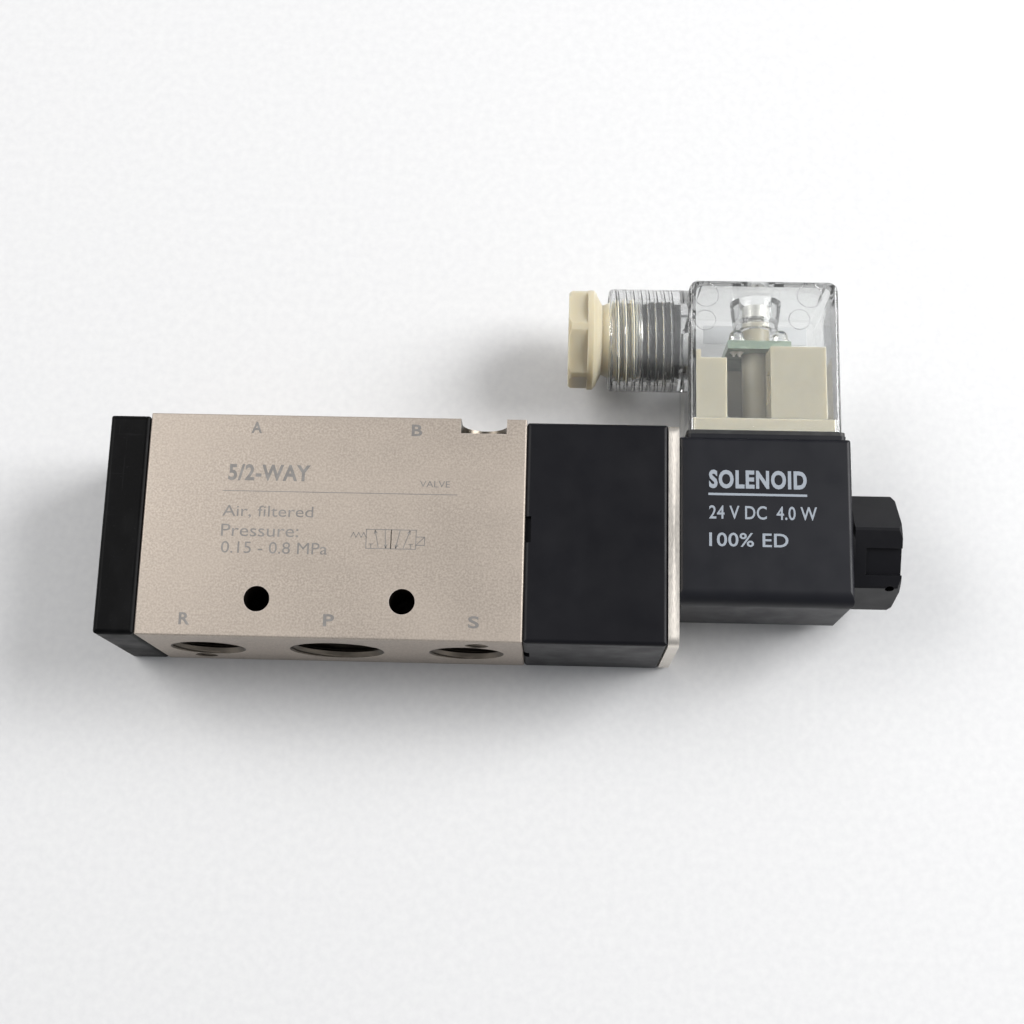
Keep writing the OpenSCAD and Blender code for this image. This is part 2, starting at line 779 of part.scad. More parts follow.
module earth_terminal() {
    half_w = (blade_w - 1.5) / 2;
    x = [earth_x - blade_t / 2, earth_x + blade_t / 2];
    color([0.8, 0.78, 0.72]) {
        block(x, [blade_y0, blade_y1 - 0.6], [axis_z - half_w, axis_z + half_w]);
        block(x, [blade_y1 - 1, blade_y1], [axis_z - half_w * 0.8, axis_z + half_w * 0.8]);
    }
}

// Brass nut moulded into the coil for the connector screw
module screw_insert() {
    color([0.8, 0.66, 0.3]) difference() {
        y_rod(coil_y1 - 5.9, lip_y1 - 0.2, 2.5, coil_mid_x);
        y_rod(coil_y1 - 7, lip_y1 + 1, m3_r, coil_mid_x);
    }
}

// ---------- coil nut ----------

// Turns of the six sides, counted from +Y towards +Z
nut_corner = 18;

module coil_nut() {
    rim_x = nut_x0 + 0.4;
    groove_x = nut_x0 + 2.4;
    groove_w = 4.8;
    groove_turn = nut_corner + 34;
    flat_r = nut_r * cos(30);
    color([0.12, 0.12, 0.13]) difference() {
        union() {
            x_rod(nut_x0, rim_x, nut_r - 0.6);
            intersection() {
                x_rod(rim_x - eps, nut_x1, nut_r);
                translate([rim_x - eps, axis_y, axis_z]) rotate([nut_corner, 0, 0]) rotate([0, 90, 0])
                    rotate([0, 0, 90]) cylinder(h = nut_x1 - rim_x + eps, r = nut_r + 0.15, $fn = 6);
                x_cone(nut_x0, nut_x1, nut_r + 8.2, nut_r - 0.6);
            }
        }
        // a finger groove on every other flat, open at the outer end
        for (side = [1, 3, 5])
            translate([0, axis_y, axis_z]) rotate([groove_turn + 60 * side, 0, 0])
                block([groove_x, nut_x1 + 1], [flat_r - 0.7, nut_r + 1], [-groove_w / 2, groove_w / 2]);
        // hole for a sealing wire
        translate([nut_x1 - 1.95, axis_y, axis_z]) rotate([nut_corner + 123, 0, 0])
            translate([0, 7, 0]) rotate([-90, 0, 0]) cylinder(h = 4, r = 0.8);
        x_rod(nut_x0 - 1, nut_x1 - 1.7, core_stud_r + play);
        x_rod(nut_x0 - 1, nut_x0 + 1, 6.6);
        x_rod(nut_x1 - 0.6, nut_x1 + 1, 3.2);
    }
}

module nut_seal() {
    color([0.08, 0.08, 0.08]) difference() {
        x_rod(coil_x1 + 0.05, nut_x0 + 0.9, 6.5);
        x_rod(coil_x1 - 1, nut_x0 + 2, 4.1);
    }
}

// ---------- plug ----------

module connector_gasket() {
    color([0.1, 0.1, 0.11]) difference() {
        run_y([lip_y1 + play, gasket_y1 - play])
            round_rect([coil_x0 + 1.5, coil_x1 - 0.8], [coil_z0 + 0.6, coil_z1 - 0.6], 1);
        for (place = power_places)
            block([place[0] - 3.4, place[0] + 3.4], [lip_y1 - 1, gasket_y1 + 1],
                [place[1] - 0.7, place[1] + 0.7]);
        block([earth_x - 0.7, earth_x + 0.7], [lip_y1 - 1, gasket_y1 + 1], [axis_z - 2.7, axis_z + 2.7]);
        y_rod(lip_y1 - 1, gasket_y1 + 1, 1.8, coil_mid_x);
    }
}

module connector_housing() {
    color([0.85, 0.87, 0.88, 0.4]) difference() {
        union() {
            difference() {
                intersection() {
                    raise([plug_z0, plug_z1]) housing_outline([plug_x0, plug_x1], plug_y0, plug_y1, 2.6);
                    run_y([plug_y0, plug_y1]) round_rect([plug_x0, plug_x1], [plug_z0, plug_z1], 1);
                    run_x([plug_x0, plug_x1]) housing_outline_side();
                }
                raise([plug_z0 + wall, plug_z1 - wall])
                    housing_outline([plug_x0 + wall, plug_x1 - wall], plug_y0 - 1, plug_y1 - roof, 1.4);
                // rebate for the foot of the terminal block
                run_y([plug_y0 - 1, flange_y1 + play])
                    round_rect([plug_x0 + 0.7, plug_x1 - 0.7], [plug_z0 + 0.7, plug_z1 - 0.7], 0.6);
            }
            // well of the connector screw
            y_cone(sleeve_y1 - 1.3, plug_y1 - roof + 0.1, 4.1, 4.8, coil_mid_x);
            gland_tube();
        }
        y_rod(well_floor_y, plug_y1 + 1, well_r, coil_mid_x);
        y_rod(sleeve_y1 - 2, plug_y1, m3_clear_r + 0.1, coil_mid_x);
        y_rod(sleeve_y1 - 2, sleeve_y1 + play, sleeve_r + 0.1, coil_mid_x);
        x_rod(gland_x0 - 1, gland_seat_x, gland_bore_r, gland_y);
        x_cone(gland_x0 - eps, gland_x0 + 0.8, gland_bore_r + 0.8, gland_bore_r, gland_y);
        x_rod(gland_seat_x - 1, plug_x0 + wall + 1, gland_hole_r, gland_y);
    }
}

module housing_outline(x, y0, y1, r) {
    translate([x[0], y0]) square([x[1] - x[0], y1 - y0 - r]);
    translate([x[0] + r, y1 - r - 1]) square([x[1] - x[0] - 2 * r, r + 1]);
    for (cx = [x[0] + r, x[1] - r])
        translate([cx, y1 - r]) circle(r = r);
}

module housing_outline_side() {
    r = 1;
    translate([plug_y0, plug_z0]) square([plug_height - r, plug_width]);
    translate([plug_y1 - r - 1, plug_z0 + r]) square([r + 1, plug_width - 2 * r]);
    for (z = [plug_z0 + r, plug_z1 - r])
        translate([plug_y1 - r, z]) circle(r = r);
}

module gland_tube() {
    lip_r = 0.8;
    x_rod(gland_x0 + lip_r, plug_x0 + 0.5, gland_r, gland_y);
    x_rod(gland_x0, gland_x0 + 1, gland_r - lip_r, gland_y);
    x_seal(gland_x0 + lip_r, gland_r - lip_r, lip_r, gland_y);
}

module terminal_block() {
    color([0.82, 0.8, 0.7]) difference() {
        union() {
            run_y([plug_y0 + play, flange_y1])
                round_rect([plug_x0 + 0.8, plug_x1 - 0.8], [plug_z0 + 0.8, plug_z1 - 0.8], 0.5);
            block(block_left, [plug_y0 + 1, block_left_y1], block_z);
            // thin wall beside the earth clamp
            block([block_left[0], block_left[0] + 0.8], [plug_y0 + 1, block_left_y1 + 1.5], block_z);
            block(block_right, [plug_y0 + 1, block_right_y1], block_z);
            y_rod(plug_y0 + 1, sleeve_y1 - play, sleeve_r, coil_mid_x);
            // back wall that carries the board
            block([block_left[1] - 1, block_right[0] + 1], [plug_y0 + 1, board_y[0] - play],
                [block_z[0], block_z[0] + 1.5]);
            block([block_right[0], block_right[0] + 2.5], [block_right_y1 - 1, board_y[0] - play],
                [axis_z + 1, axis_z + 4]);
        }
        y_rod(plug_y0 - 1, sleeve_y1 + 1, m3_clear_r, coil_mid_x);
        for (place = power_places) {
            block([place[0] - 3.3, place[0] + 3.3], [plug_y0 - 1, clamp_y[0] + 1],
                [place[1] - 0.6, place[1] + 0.6]);
            block([place[0] - 4, place[0] + 4], [clamp_y[0] - play, block_right_y1 + 1],
                [place[1] - 2.2, place[1] + 2.2]);
            block([block_right[0] - 1, place[0]], [clamp_y[0] + 3.6, clamp_y[1]],
                [place[1] - 1.6, place[1] + 1.6]);
        }
        block([earth_x - 0.6, earth_x + 0.6], [plug_y0 - 1, clamp_y[0] + 1], [axis_z - 2.6, axis_z + 2.6]);
        block([earth_x - 1.9, earth_x + 1.9], [clamp_y[0] - play, block_left_y1 + 2],
            [axis_z - 4, axis_z + 4]);
    }
}

// Brass clamp: a box with a slot for the blade below, a wire hole across and a tapped top
module clamp(x_size, z_size, slot) {
    difference() {
        translate([-x_size / 2, clamp_y[0], -z_size / 2]) cube([x_size, clamp_y[1] - clamp_y[0], z_size]);
        translate([-slot[0] / 2, clamp_y[0] - 1, -slot[1] / 2])
            cube([slot[0], blade_y1 - clamp_y[0] + 1.2, slot[1]]);
        translate([0, clamp_y[1] - 2.4, 0]) rotate([-90, 0, 0]) cylinder(h = 4, r = 1.25);
    }
}

module terminal_sockets() {
    color([0.8, 0.66, 0.3]) {
        for (place = power_places)
            translate([place[0], 0, place[1]]) clamp(7.8, 4.2, [6.5, 1]);
        translate([earth_x, 0, axis_z]) clamp(3.6, 7.8, [1, 5]);
    }
}

module terminal_screws() {
    color([0.78, 0.76, 0.7])
        for (place = concat(power_places, [[earth_x, axis_z]]))
            translate([place[0], clamp_y[1] + play, place[1]]) rotate([-90, 0, 0]) difference() {
                union() {
                    translate([0, 0, -2.2]) cylinder(h = 2.2, r = 1.2);
                    cylinder(h = 1.2, r = 1.8);
                }
                translate([-2, -0.25, 0.6]) cube([4, 0.5, 1]);
            }
}

module led_board() {
    color([0.16, 0.42, 0.3]) difference() {
        block(board_x, board_y, board_z);
        y_rod(board_y[0] - 1, board_y[1] + 1, 2.9, coil_mid_x);
    }
}

led_places = [[coil_mid_x - 3.9, axis_z + 2.9], [coil_mid_x + 4.1, axis_z + 2.9]];

// Clear indicator lamps on the board
module leds() {
    color([0.9, 0.92, 0.92, 0.6])
        for (place = led_places) {
            y_rod(board_y[1] + play, board_y[1] + 0.7, 1.7, place[0], place[1]);
            y_rod(board_y[1] + 0.6, board_y[1] + 1.4, 1.4, place[0], place[1]);
            translate([place[0], board_y[1] + 1.4, place[1]]) intersection() {
                sphere(r = 1.4);
                translate([-2, -eps, -2]) cube([4, 4, 4]);
            }
        }
}

// Resistor, diode and surge absorber behind the lamps
module board_components() {
    y0 = board_y[1] + play;
    color([0.25, 0.3, 0.45])
        block([board_x[0] + 0.6, board_x[0] + 2.2], [y0, y0 + 1.1], [axis_z - 5.5, axis_z - 2.3]);
    color([0.1, 0.1, 0.1])
        block([board_x[1] - 3, board_x[1] - 0.6], [y0, y0 + 1.3], [axis_z - 6, axis_z - 2]);
    color([0.7, 0.6, 0.45])
        block([coil_mid_x - 2.2, coil_mid_x + 1], [y0, y0 + 1], [axis_z - 6.4, axis_z - 4.8]);
}

module connector_screw() {
    seat_y = well_floor_y + 0.6;
    color([0.78, 0.77, 0.74])
        translate([coil_mid_x, seat_y, axis_z]) rotate([-90, 0, 0])
            pan_screw(seat_y - coil_y1 + 5, 2.6, 1.9);
}

module screw_washer() {
    color([0.7, 0.7, 0.7]) difference() {
        y_rod(well_floor_y + play, well_floor_y + 0.6 - play, 2.9, coil_mid_x);
        y_rod(well_floor_y - 1, well_floor_y + 2, m3_r + 0.1, coil_mid_x);
    }
}

// ---------- cable gland ----------

// Corner of the hexagon nearest the label face, turned towards -Y
gland_corner = 4;

module gland_nut() {
    hex_r = 9.6;
    color([0.83, 0.79, 0.66]) difference() {
        union() {
            intersection() {
                translate([gland_nut_x0, gland_y, axis_z]) rotate([gland_corner, 0, 0]) rotate([0, 90, 0])
                    cylinder(h = gland_collar_x0 - gland_nut_x0 + eps, r = hex_r, $fn = 6);
                x_rod(gland_nut_x0, gland_collar_x1, hex_r - 0.35, gland_y);
                x_cone(gland_nut_x0, gland_collar_x1, hex_r - 0.9, hex_r + 4.3, gland_y);
            }
            x_rod(gland_collar_x0, gland_collar_x1 - 0.6, gland_r - 0.3, gland_y);
            x_cone(gland_collar_x1 - 0.6, gland_collar_x1, gland_r - 0.3, gland_r - 1, gland_y);
            x_cone(gland_collar_x1 - eps, gland_collar_x1 + 1, 8.4, gland_groove_r, gland_y);
            x_cone(gland_collar_x1 + 1 - eps, gland_x0, gland_groove_r, gland_neck_r, gland_y);
            x_rod(gland_x0 - eps, gland_neck_x1, gland_neck_r, gland_y);
        }
        x_rod(gland_nut_x0 - 1, gland_neck_x1 + 1, gland_hole_r, gland_y);
        x_cone(gland_nut_x0 - eps, gland_nut_x0 + 1, gland_hole_r + 1, gland_hole_r, gland_y);
    }
}

module gland_washer() {
    color([0.75, 0.75, 0.72]) difference() {
        x_rod(gland_neck_x1 + 0.1, gland_neck_x1 + 0.9, gland_neck_r, gland_y);
        x_rod(gland_neck_x1 - 1, gland_neck_x1 + 2, gland_hole_r, gland_y);
    }
}

module gland_grommet() {
    x0 = gland_neck_x1 + 1;
    x1 = gland_seat_x - play;
    color([0.07, 0.07, 0.07]) difference() {
        union() {
            x_rod(x0, x1, 6.9, gland_y);
            x_rod(x0 + 1, x1 - 1, 7.2, gland_y);
        }
        x_rod(x0 - 1, x1 + 1, 3.2, gland_y);
    }
}

// ---------- assembly ----------

valve_body();
end_cap();
end_cap_gasket();
end_cap_screws();
return_spring();
spool();
spool_seals();
piston();
piston_seal();
piston_wear_ring();
pilot_block();
pilot_gasket();
orifice_seat();
pilot_screws();
override_button();
override_seal();
override_spring();
override_pin();
fixed_plate();
plate_screws();
armature_tube();
tube_seal();
fixed_core();
armature();
armature_seal();
armature_spring();
coil_shell();
coil_frame();
coil_bobbin();
coil_winding();
power_terminals();
earth_terminal();
screw_insert();
coil_nut();
nut_seal();
connector_gasket();
terminal_block();
terminal_sockets();
terminal_screws();
led_board();
leds();
board_components();
connector_housing();
connector_screw();
screw_washer();
gland_nut();
gland_washer();
gland_grommet();
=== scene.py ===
import json
import math

import bmesh
import bpy
from mathutils import Matrix, Vector

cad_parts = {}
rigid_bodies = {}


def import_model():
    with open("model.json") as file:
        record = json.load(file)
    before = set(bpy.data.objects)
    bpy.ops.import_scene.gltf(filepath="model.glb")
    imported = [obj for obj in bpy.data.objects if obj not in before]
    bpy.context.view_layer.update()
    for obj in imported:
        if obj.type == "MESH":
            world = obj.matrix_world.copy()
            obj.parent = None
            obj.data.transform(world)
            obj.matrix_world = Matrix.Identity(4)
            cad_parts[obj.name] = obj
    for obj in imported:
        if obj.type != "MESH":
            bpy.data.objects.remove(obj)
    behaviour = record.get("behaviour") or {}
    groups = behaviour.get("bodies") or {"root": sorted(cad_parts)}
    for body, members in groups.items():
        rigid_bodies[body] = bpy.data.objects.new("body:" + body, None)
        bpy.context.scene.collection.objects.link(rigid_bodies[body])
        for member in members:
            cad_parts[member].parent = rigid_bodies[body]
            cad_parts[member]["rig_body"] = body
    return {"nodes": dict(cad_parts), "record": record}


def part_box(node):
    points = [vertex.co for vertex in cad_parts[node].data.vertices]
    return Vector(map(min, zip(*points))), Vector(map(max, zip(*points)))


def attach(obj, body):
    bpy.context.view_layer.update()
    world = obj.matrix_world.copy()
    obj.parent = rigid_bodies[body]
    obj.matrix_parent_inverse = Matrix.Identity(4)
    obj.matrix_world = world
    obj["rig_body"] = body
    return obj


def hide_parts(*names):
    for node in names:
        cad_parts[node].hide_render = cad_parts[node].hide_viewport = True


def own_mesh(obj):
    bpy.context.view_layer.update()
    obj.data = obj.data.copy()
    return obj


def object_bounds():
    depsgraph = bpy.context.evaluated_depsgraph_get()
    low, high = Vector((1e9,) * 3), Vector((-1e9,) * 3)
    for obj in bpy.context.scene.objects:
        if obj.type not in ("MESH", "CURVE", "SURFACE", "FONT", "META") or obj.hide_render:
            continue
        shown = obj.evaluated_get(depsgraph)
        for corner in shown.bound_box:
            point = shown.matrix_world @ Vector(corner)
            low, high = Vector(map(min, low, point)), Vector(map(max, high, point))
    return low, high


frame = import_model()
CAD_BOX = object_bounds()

# A pneumatic 5/2 valve lying on its rear face: anodised body, black end pieces, moulded coil and
# a clear plug. Sizes are in millimetres, and places come from the frame.
MM = 0.001
NODES = frame["nodes"]

# ---------- camera ----------

VIEW_AZIMUTH = 6.533
VIEW_ELEVATION = 76.09
VIEW_ROLL = -5.204
VIEW_DISTANCE = 286.0
VIEW_SHIFT = (1.3, -8.45, 0.0)
LENS = 54.76


def make_camera():
    """Camera above the label face, leaning a little towards the R, P and S ports."""
    low, high = CAD_BOX
    target = (low + high) / 2 + Vector(VIEW_SHIFT) * MM
    turn, lift = math.radians(VIEW_AZIMUTH), math.radians(VIEW_ELEVATION)
    back = Vector((math.sin(turn) * math.cos(lift), -math.cos(turn) * math.cos(lift), math.sin(lift)))
    level = Vector((math.cos(turn), math.sin(turn), 0.0))
    upright = back.cross(level)
    roll = math.radians(VIEW_ROLL)
    right = level * math.cos(roll) + upright * math.sin(roll)
    up = back.cross(right)
    data = bpy.data.cameras.new("camera")
    data.lens = LENS
    data.sensor_width = 36.0
    data.clip_start, data.clip_end = 0.01, 20.0
    camera = bpy.data.objects.new("camera", data)
    bpy.context.scene.collection.objects.link(camera)
    place = Matrix((right, up, back)).transposed().to_4x4()
    place.translation = target + back * VIEW_DISTANCE * MM
    camera.matrix_world = place
    bpy.context.scene.camera = camera


make_camera()

# ---------- places taken from the frame ----------

BODY_LOW, BODY_HIGH = [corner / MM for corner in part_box("valve_body")]
COIL_LOW, COIL_HIGH = [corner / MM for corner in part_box("coil_shell")]
PLUG_LOW, PLUG_HIGH = [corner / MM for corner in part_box("connector_housing")]
GLAND_LOW, GLAND_HIGH = [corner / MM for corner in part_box("gland_nut")]
BOARD_LOW, BOARD_HIGH = [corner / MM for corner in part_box("led_board")]
LAMPS_LOW, LAMPS_HIGH = [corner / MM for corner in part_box("leds")]
SCREW_TOP = (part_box("connector_screw")[1] / MM).y
AXIS_Z = (BODY_LOW.z + BODY_HIGH.z) / 2
GLAND_Y = (GLAND_LOW.y + GLAND_HIGH.y) / 2
MOUNTS = {mount["name"]: mount for mount in frame["record"]["mounts"]}

# ---------- shape helpers ----------


def piece_from(bm, name, slot, body):
    """Turns a bmesh in metres into a piece with its material slot and body."""
    mesh = bpy.data.meshes.new(name)
    bmesh.ops.recalc_face_normals(bm, faces=bm.faces)
    bm.to_mesh(mesh)
    bm.free()
    piece = bpy.data.objects.new(name, mesh)
    bpy.context.scene.collection.objects.link(piece)
    finish_piece(piece, slot, body)
    return piece


def finish_piece(piece, slot, body):
    shade_by_angle(piece.data)
    piece.data.materials.clear()
    piece.data.materials.append(MATERIALS[slot])
    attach(piece, body)


def shade_by_angle(mesh, limit=32.0):
    """Smooth faces, with sharp edges where two faces meet at more than limit degrees."""
    bm = bmesh.new()
    bm.from_mesh(mesh)
    for face in bm.faces:
        face.smooth = True
    for edge in bm.edges:
        edge.smooth = edge.calc_face_angle(math.pi) < math.radians(limit)
    bm.to_mesh(mesh)
    bm.free()


def copy_of_node(node, name):
    """A welded copy of a CAD node's mesh, for a piece that stands for it."""
    mesh = NODES[node].data.copy()
    bm = bmesh.new()
    bm.from_mesh(mesh)
    bmesh.ops.remove_doubles(bm, verts=bm.verts, dist=0.001 * MM)
    bm.to_mesh(mesh)
    bm.free()
    piece = bpy.data.objects.new(name, mesh)
    bpy.context.scene.collection.objects.link(piece)
    return piece


def combine(piece, tool, operation="DIFFERENCE"):
    """Applies a boolean of the mesh in tool, a bmesh in metres, to the piece."""
    mesh = bpy.data.meshes.new("tool")
    bmesh.ops.recalc_face_normals(tool, faces=tool.faces)
    tool.to_mesh(mesh)
    tool.free()
    cutter = bpy.data.objects.new("tool", mesh)
    bpy.context.scene.collection.objects.link(cutter)
    boolean = piece.modifiers.new("combine", "BOOLEAN")
    boolean.operation = operation
    boolean.solver = "EXACT"
    boolean.object = cutter
    bpy.context.view_layer.update()
    solid = piece.evaluated_get(bpy.context.evaluated_depsgraph_get())
    result = bpy.data.meshes.new_from_object(solid)
    piece.modifiers.clear()
    piece.data = result
    bpy.data.objects.remove(cutter)


def rings_to_faces(bm, rings, closed=False):
    """Skins a list of rings of vertices, with caps at both ends unless closed."""
    pairs = list(zip(rings, rings[1:])) + ([(rings[-1], rings[0])] if closed else [])
    for lower, upper in pairs:
        for i in range(len(lower)):
            k = (i + 1) % len(lower)
            bm.faces.new((lower[i], lower[k], upper[k], upper[i]))
    if not closed:
        bm.faces.new(rings[0])
        bm.faces.new(reversed(rings[-1]))


def thread_solid(reach, pitch, root, crest, fade=(0.0, 0.5), steps=36):
    """Screw-thread ridge round +X between two stations. root and crest are (radius, half width).
    The phase depends only on the place along X, so two threads of one pitch are in mesh."""
    bm = bmesh.new()
    count = math.ceil((reach[1] - reach[0]) / pitch * steps)
    rings = []
    for i in range(count + 1):
        along = reach[0] + (reach[1] - reach[0]) * i / count
        angle = math.tau * along / pitch
        grow = 1.0
        if fade[0]:
            grow = min(grow, 0.03 + i / (fade[0] * steps))
        if fade[1]:
            grow = min(grow, 0.03 + (count - i) / (fade[1] * steps))
        top = root[0] + (crest[0] - root[0]) * grow
        corners = ((root[0], -root[1]), (top, -crest[1]), (top, crest[1]), (root[0], root[1]))
        rings.append([
            bm.verts.new(Vector((along + side, r * math.cos(angle), r * math.sin(angle))) * MM)
            for r, side in corners
        ])
    rings_to_faces(bm, rings)
    return bm


def ring_solid(radius, section, steps=48, sides=8):
    """Torus round +X at the origin."""
    bm = bmesh.new()
    rings = []
    for i in range(steps):
        angle = math.tau * i / steps
        ring = []
        for k in range(sides):
            round_ = math.tau * k / sides
            r = radius + section * math.cos(round_)
            x = section * math.sin(round_)
            ring.append(bm.verts.new(Vector((x, r * math.cos(angle), r * math.sin(angle))) * MM))
        rings.append(ring)
    rings_to_faces(bm, rings, closed=True)
    return bm


def lathe(profile, steps=48):
    """Solid of revolution round +X from a list of (x, radius), both ends closed on the axis."""
    bm = bmesh.new()
    rings = []
    for i in range(steps):
        angle = math.tau * i / steps
        rings.append([
            bm.verts.new(Vector((x, r * math.cos(angle), r * math.sin(angle))) * MM)
            for x, r in profile
        ])
    for i in range(steps):
        this, following = rings[i], rings[(i + 1) % steps]
        for k in range(len(profile) - 1):
            bm.faces.new((this[k], this[k + 1], following[k + 1], following[k]))
    bmesh.ops.remove_doubles(bm, verts=bm.verts, dist=0.0001 * MM)
    for end in (0, -1):
        if profile[end][1] > 0:
            edges = [e for e in bm.edges if e.is_boundary and
                     all(abs(v.co.x / MM - profile[end][0]) < 0.001 for v in e.verts)]
            bmesh.ops.contextual_create(bm, geom=edges)
    return bm


def rounded_box(low, high, radius, segments=2):
    """Box with bevelled edges."""
    bm = bmesh.new()
    size = [h - l for l, h in zip(low, high)]
    middle = Vector([(l + h) / 2 for l, h in zip(low, high)]) * MM
    place = Matrix.Translation(middle) @ Matrix.Diagonal((*[s * MM for s in size], 1.0))
    bmesh.ops.create_cube(bm, size=1.0, matrix=place)
    bmesh.ops.bevel(bm, geom=bm.edges[:], offset=radius * MM, segments=segments, profile=0.5,
                    affect="EDGES", clamp_overlap=True)
    return bm


def moved(bm, place):
    bm.transform(place)
    return bm


def facing(position, axis):
    """Matrix that puts the origin at position, in millimetres, and turns +X onto axis."""
    turn = Vector((1, 0, 0)).rotation_difference(Vector(axis))
    return Matrix.Translation(Vector(position) * MM) @ turn.to_matrix().to_4x4()


def merged(parts):
    """One bmesh that holds all the parts."""
    whole = bmesh.new()
    for part in parts:
        mesh = bpy.data.meshes.new("part")
        part.to_mesh(mesh)
        part.free()
        whole.from_mesh(mesh)
        bpy.data.meshes.remove(mesh)
    return whole


# ---------- shader helpers ----------


class Shader:
    """Builds the node tree of one material. Lengths are in millimetres."""

    def __init__(self, name):
        self.material = bpy.data.materials.new(name)
        self.material.use_nodes = True
        self.tree = self.material.node_tree
        self.tree.nodes.clear()
        self.place = self.node("ShaderNodeTexCoord").outputs["Object"]

    def node(self, kind, values=None, **settings):
        made = self.tree.nodes.new(kind)
        for key, value in settings.items():
            setattr(made, key, value)
        for key, value in (values or {}).items():
            if isinstance(value, bpy.types.NodeSocket):
                self.tree.links.new(value, made.inputs[key])
            else:
                made.inputs[key].default_value = value
        return made

    def noise(self, size, detail=2.0, stretch=(1, 1, 1), shift=0.0):
        """Noise from 0 to 1 with blobs of about size, longer on the axes with a larger stretch."""
        scale = [1 / (size * MM * s) for s in stretch]
        spot = self.node("ShaderNodeMapping",
                         {"Vector": self.place, "Location": (shift, shift, shift), "Scale": scale})
        texture = self.node("ShaderNodeTexNoise",
                            {"Vector": spot.outputs[0], "Scale": 1.0, "Detail": detail})
        return texture.outputs[0]

    def remap(self, value, low, high, to_low=0.0, to_high=1.0):
        values = {0: value, 1: low, 2: high, 3: to_low, 4: to_high}
        return self.node("ShaderNodeMapRange", values).outputs[0]

    def maths(self, operation, a, b=0.0):
        return self.node("ShaderNodeMath", {0: a, 1: b}, operation=operation).outputs[0]

    def mix(self, factor, a, b, kind="MIX"):
        made = self.node("ShaderNodeMix", data_type="RGBA", blend_type=kind)
        for key, value in ((0, factor), (6, a), (7, b)):
            if isinstance(value, bpy.types.NodeSocket):
                self.tree.links.new(value, made.inputs[key])
            elif key == 0:
                made.inputs[key].default_value = value
            else:
                made.inputs[key].default_value = (*value, 1.0)
        return made.outputs[2]

    def bump(self, height, depth, normal=None):
        values = {"Height": height, "Distance": depth * MM, "Strength": 1.0}
        if normal is not None:
            values["Normal"] = normal
        return self.node("ShaderNodeBump", values).outputs[0]

    def edges(self, radius):
        """1 along convex and concave edges, 0 on open faces."""
        rounded = self.node("ShaderNodeBevel", {"Radius": radius * MM}, samples=4).outputs[0]
        true = self.node("ShaderNodeNewGeometry").outputs["Normal"]
        alike = self.node("ShaderNodeVectorMath", {0: rounded, 1: true}, operation="DOT_PRODUCT")
        return self.remap(alike.outputs["Value"], 0.985, 0.8)

    def finish(self, values):
        shader = self.node("ShaderNodeBsdfPrincipled", values)
        self.node("ShaderNodeOutputMaterial", {"Surface": shader.outputs[0]})
        return self.material


def grey(level):
    return (level, level, level)


def scaled(colour, factor):
    return tuple(channel * factor for channel in colour)


# ---------- materials ----------


def blasted_metal(name, colour, roughness=0.45, metallic=0.5):
    """Sand-blasted and anodised aluminium: fine matt grain, faint rolling bands, handling marks."""
    s = Shader(name)
    grain = s.noise(0.18, 2.0)
    speckle = s.noise(0.36, 2.0, shift=3.1)
    bands = s.noise(2.4, 3.0, stretch=(14, 1, 1), shift=7.7)
    patches = s.noise(16.0, 3.0, shift=1.3)
    tone = s.mix(s.remap(speckle, 0.34, 0.68), scaled(colour, 0.82), scaled(colour, 1.15))
    tone = s.mix(s.remap(bands, 0.35, 0.7, 0.0, 0.4), tone, scaled(colour, 0.94))
    tone = s.mix(s.remap(patches, 0.45, 0.75, 0.0, 0.45), tone, scaled(colour, 1.09))
    pits = s.remap(s.noise(0.34, 1.0, shift=12.0), 0.7, 0.78)
    tone = s.mix(s.maths("MULTIPLY", pits, 0.22), tone, scaled(colour, 0.5))
    worn = s.maths("MULTIPLY", s.edges(0.3), s.remap(s.noise(1.1, 3.0, shift=5.0), 0.4, 0.65))
    tone = s.mix(s.maths("MULTIPLY", worn, 0.5), tone, (0.83, 0.8, 0.76))
    rough = s.remap(patches, 0.3, 0.7, roughness - 0.04, roughness + 0.06)
    height = s.maths("ADD", grain, s.maths("MULTIPLY", speckle, 0.6))
    return s.finish({
        "Base Color": tone, "Metallic": metallic, "Roughness": rough,
        "Normal": s.bump(height, 0.014),
    })


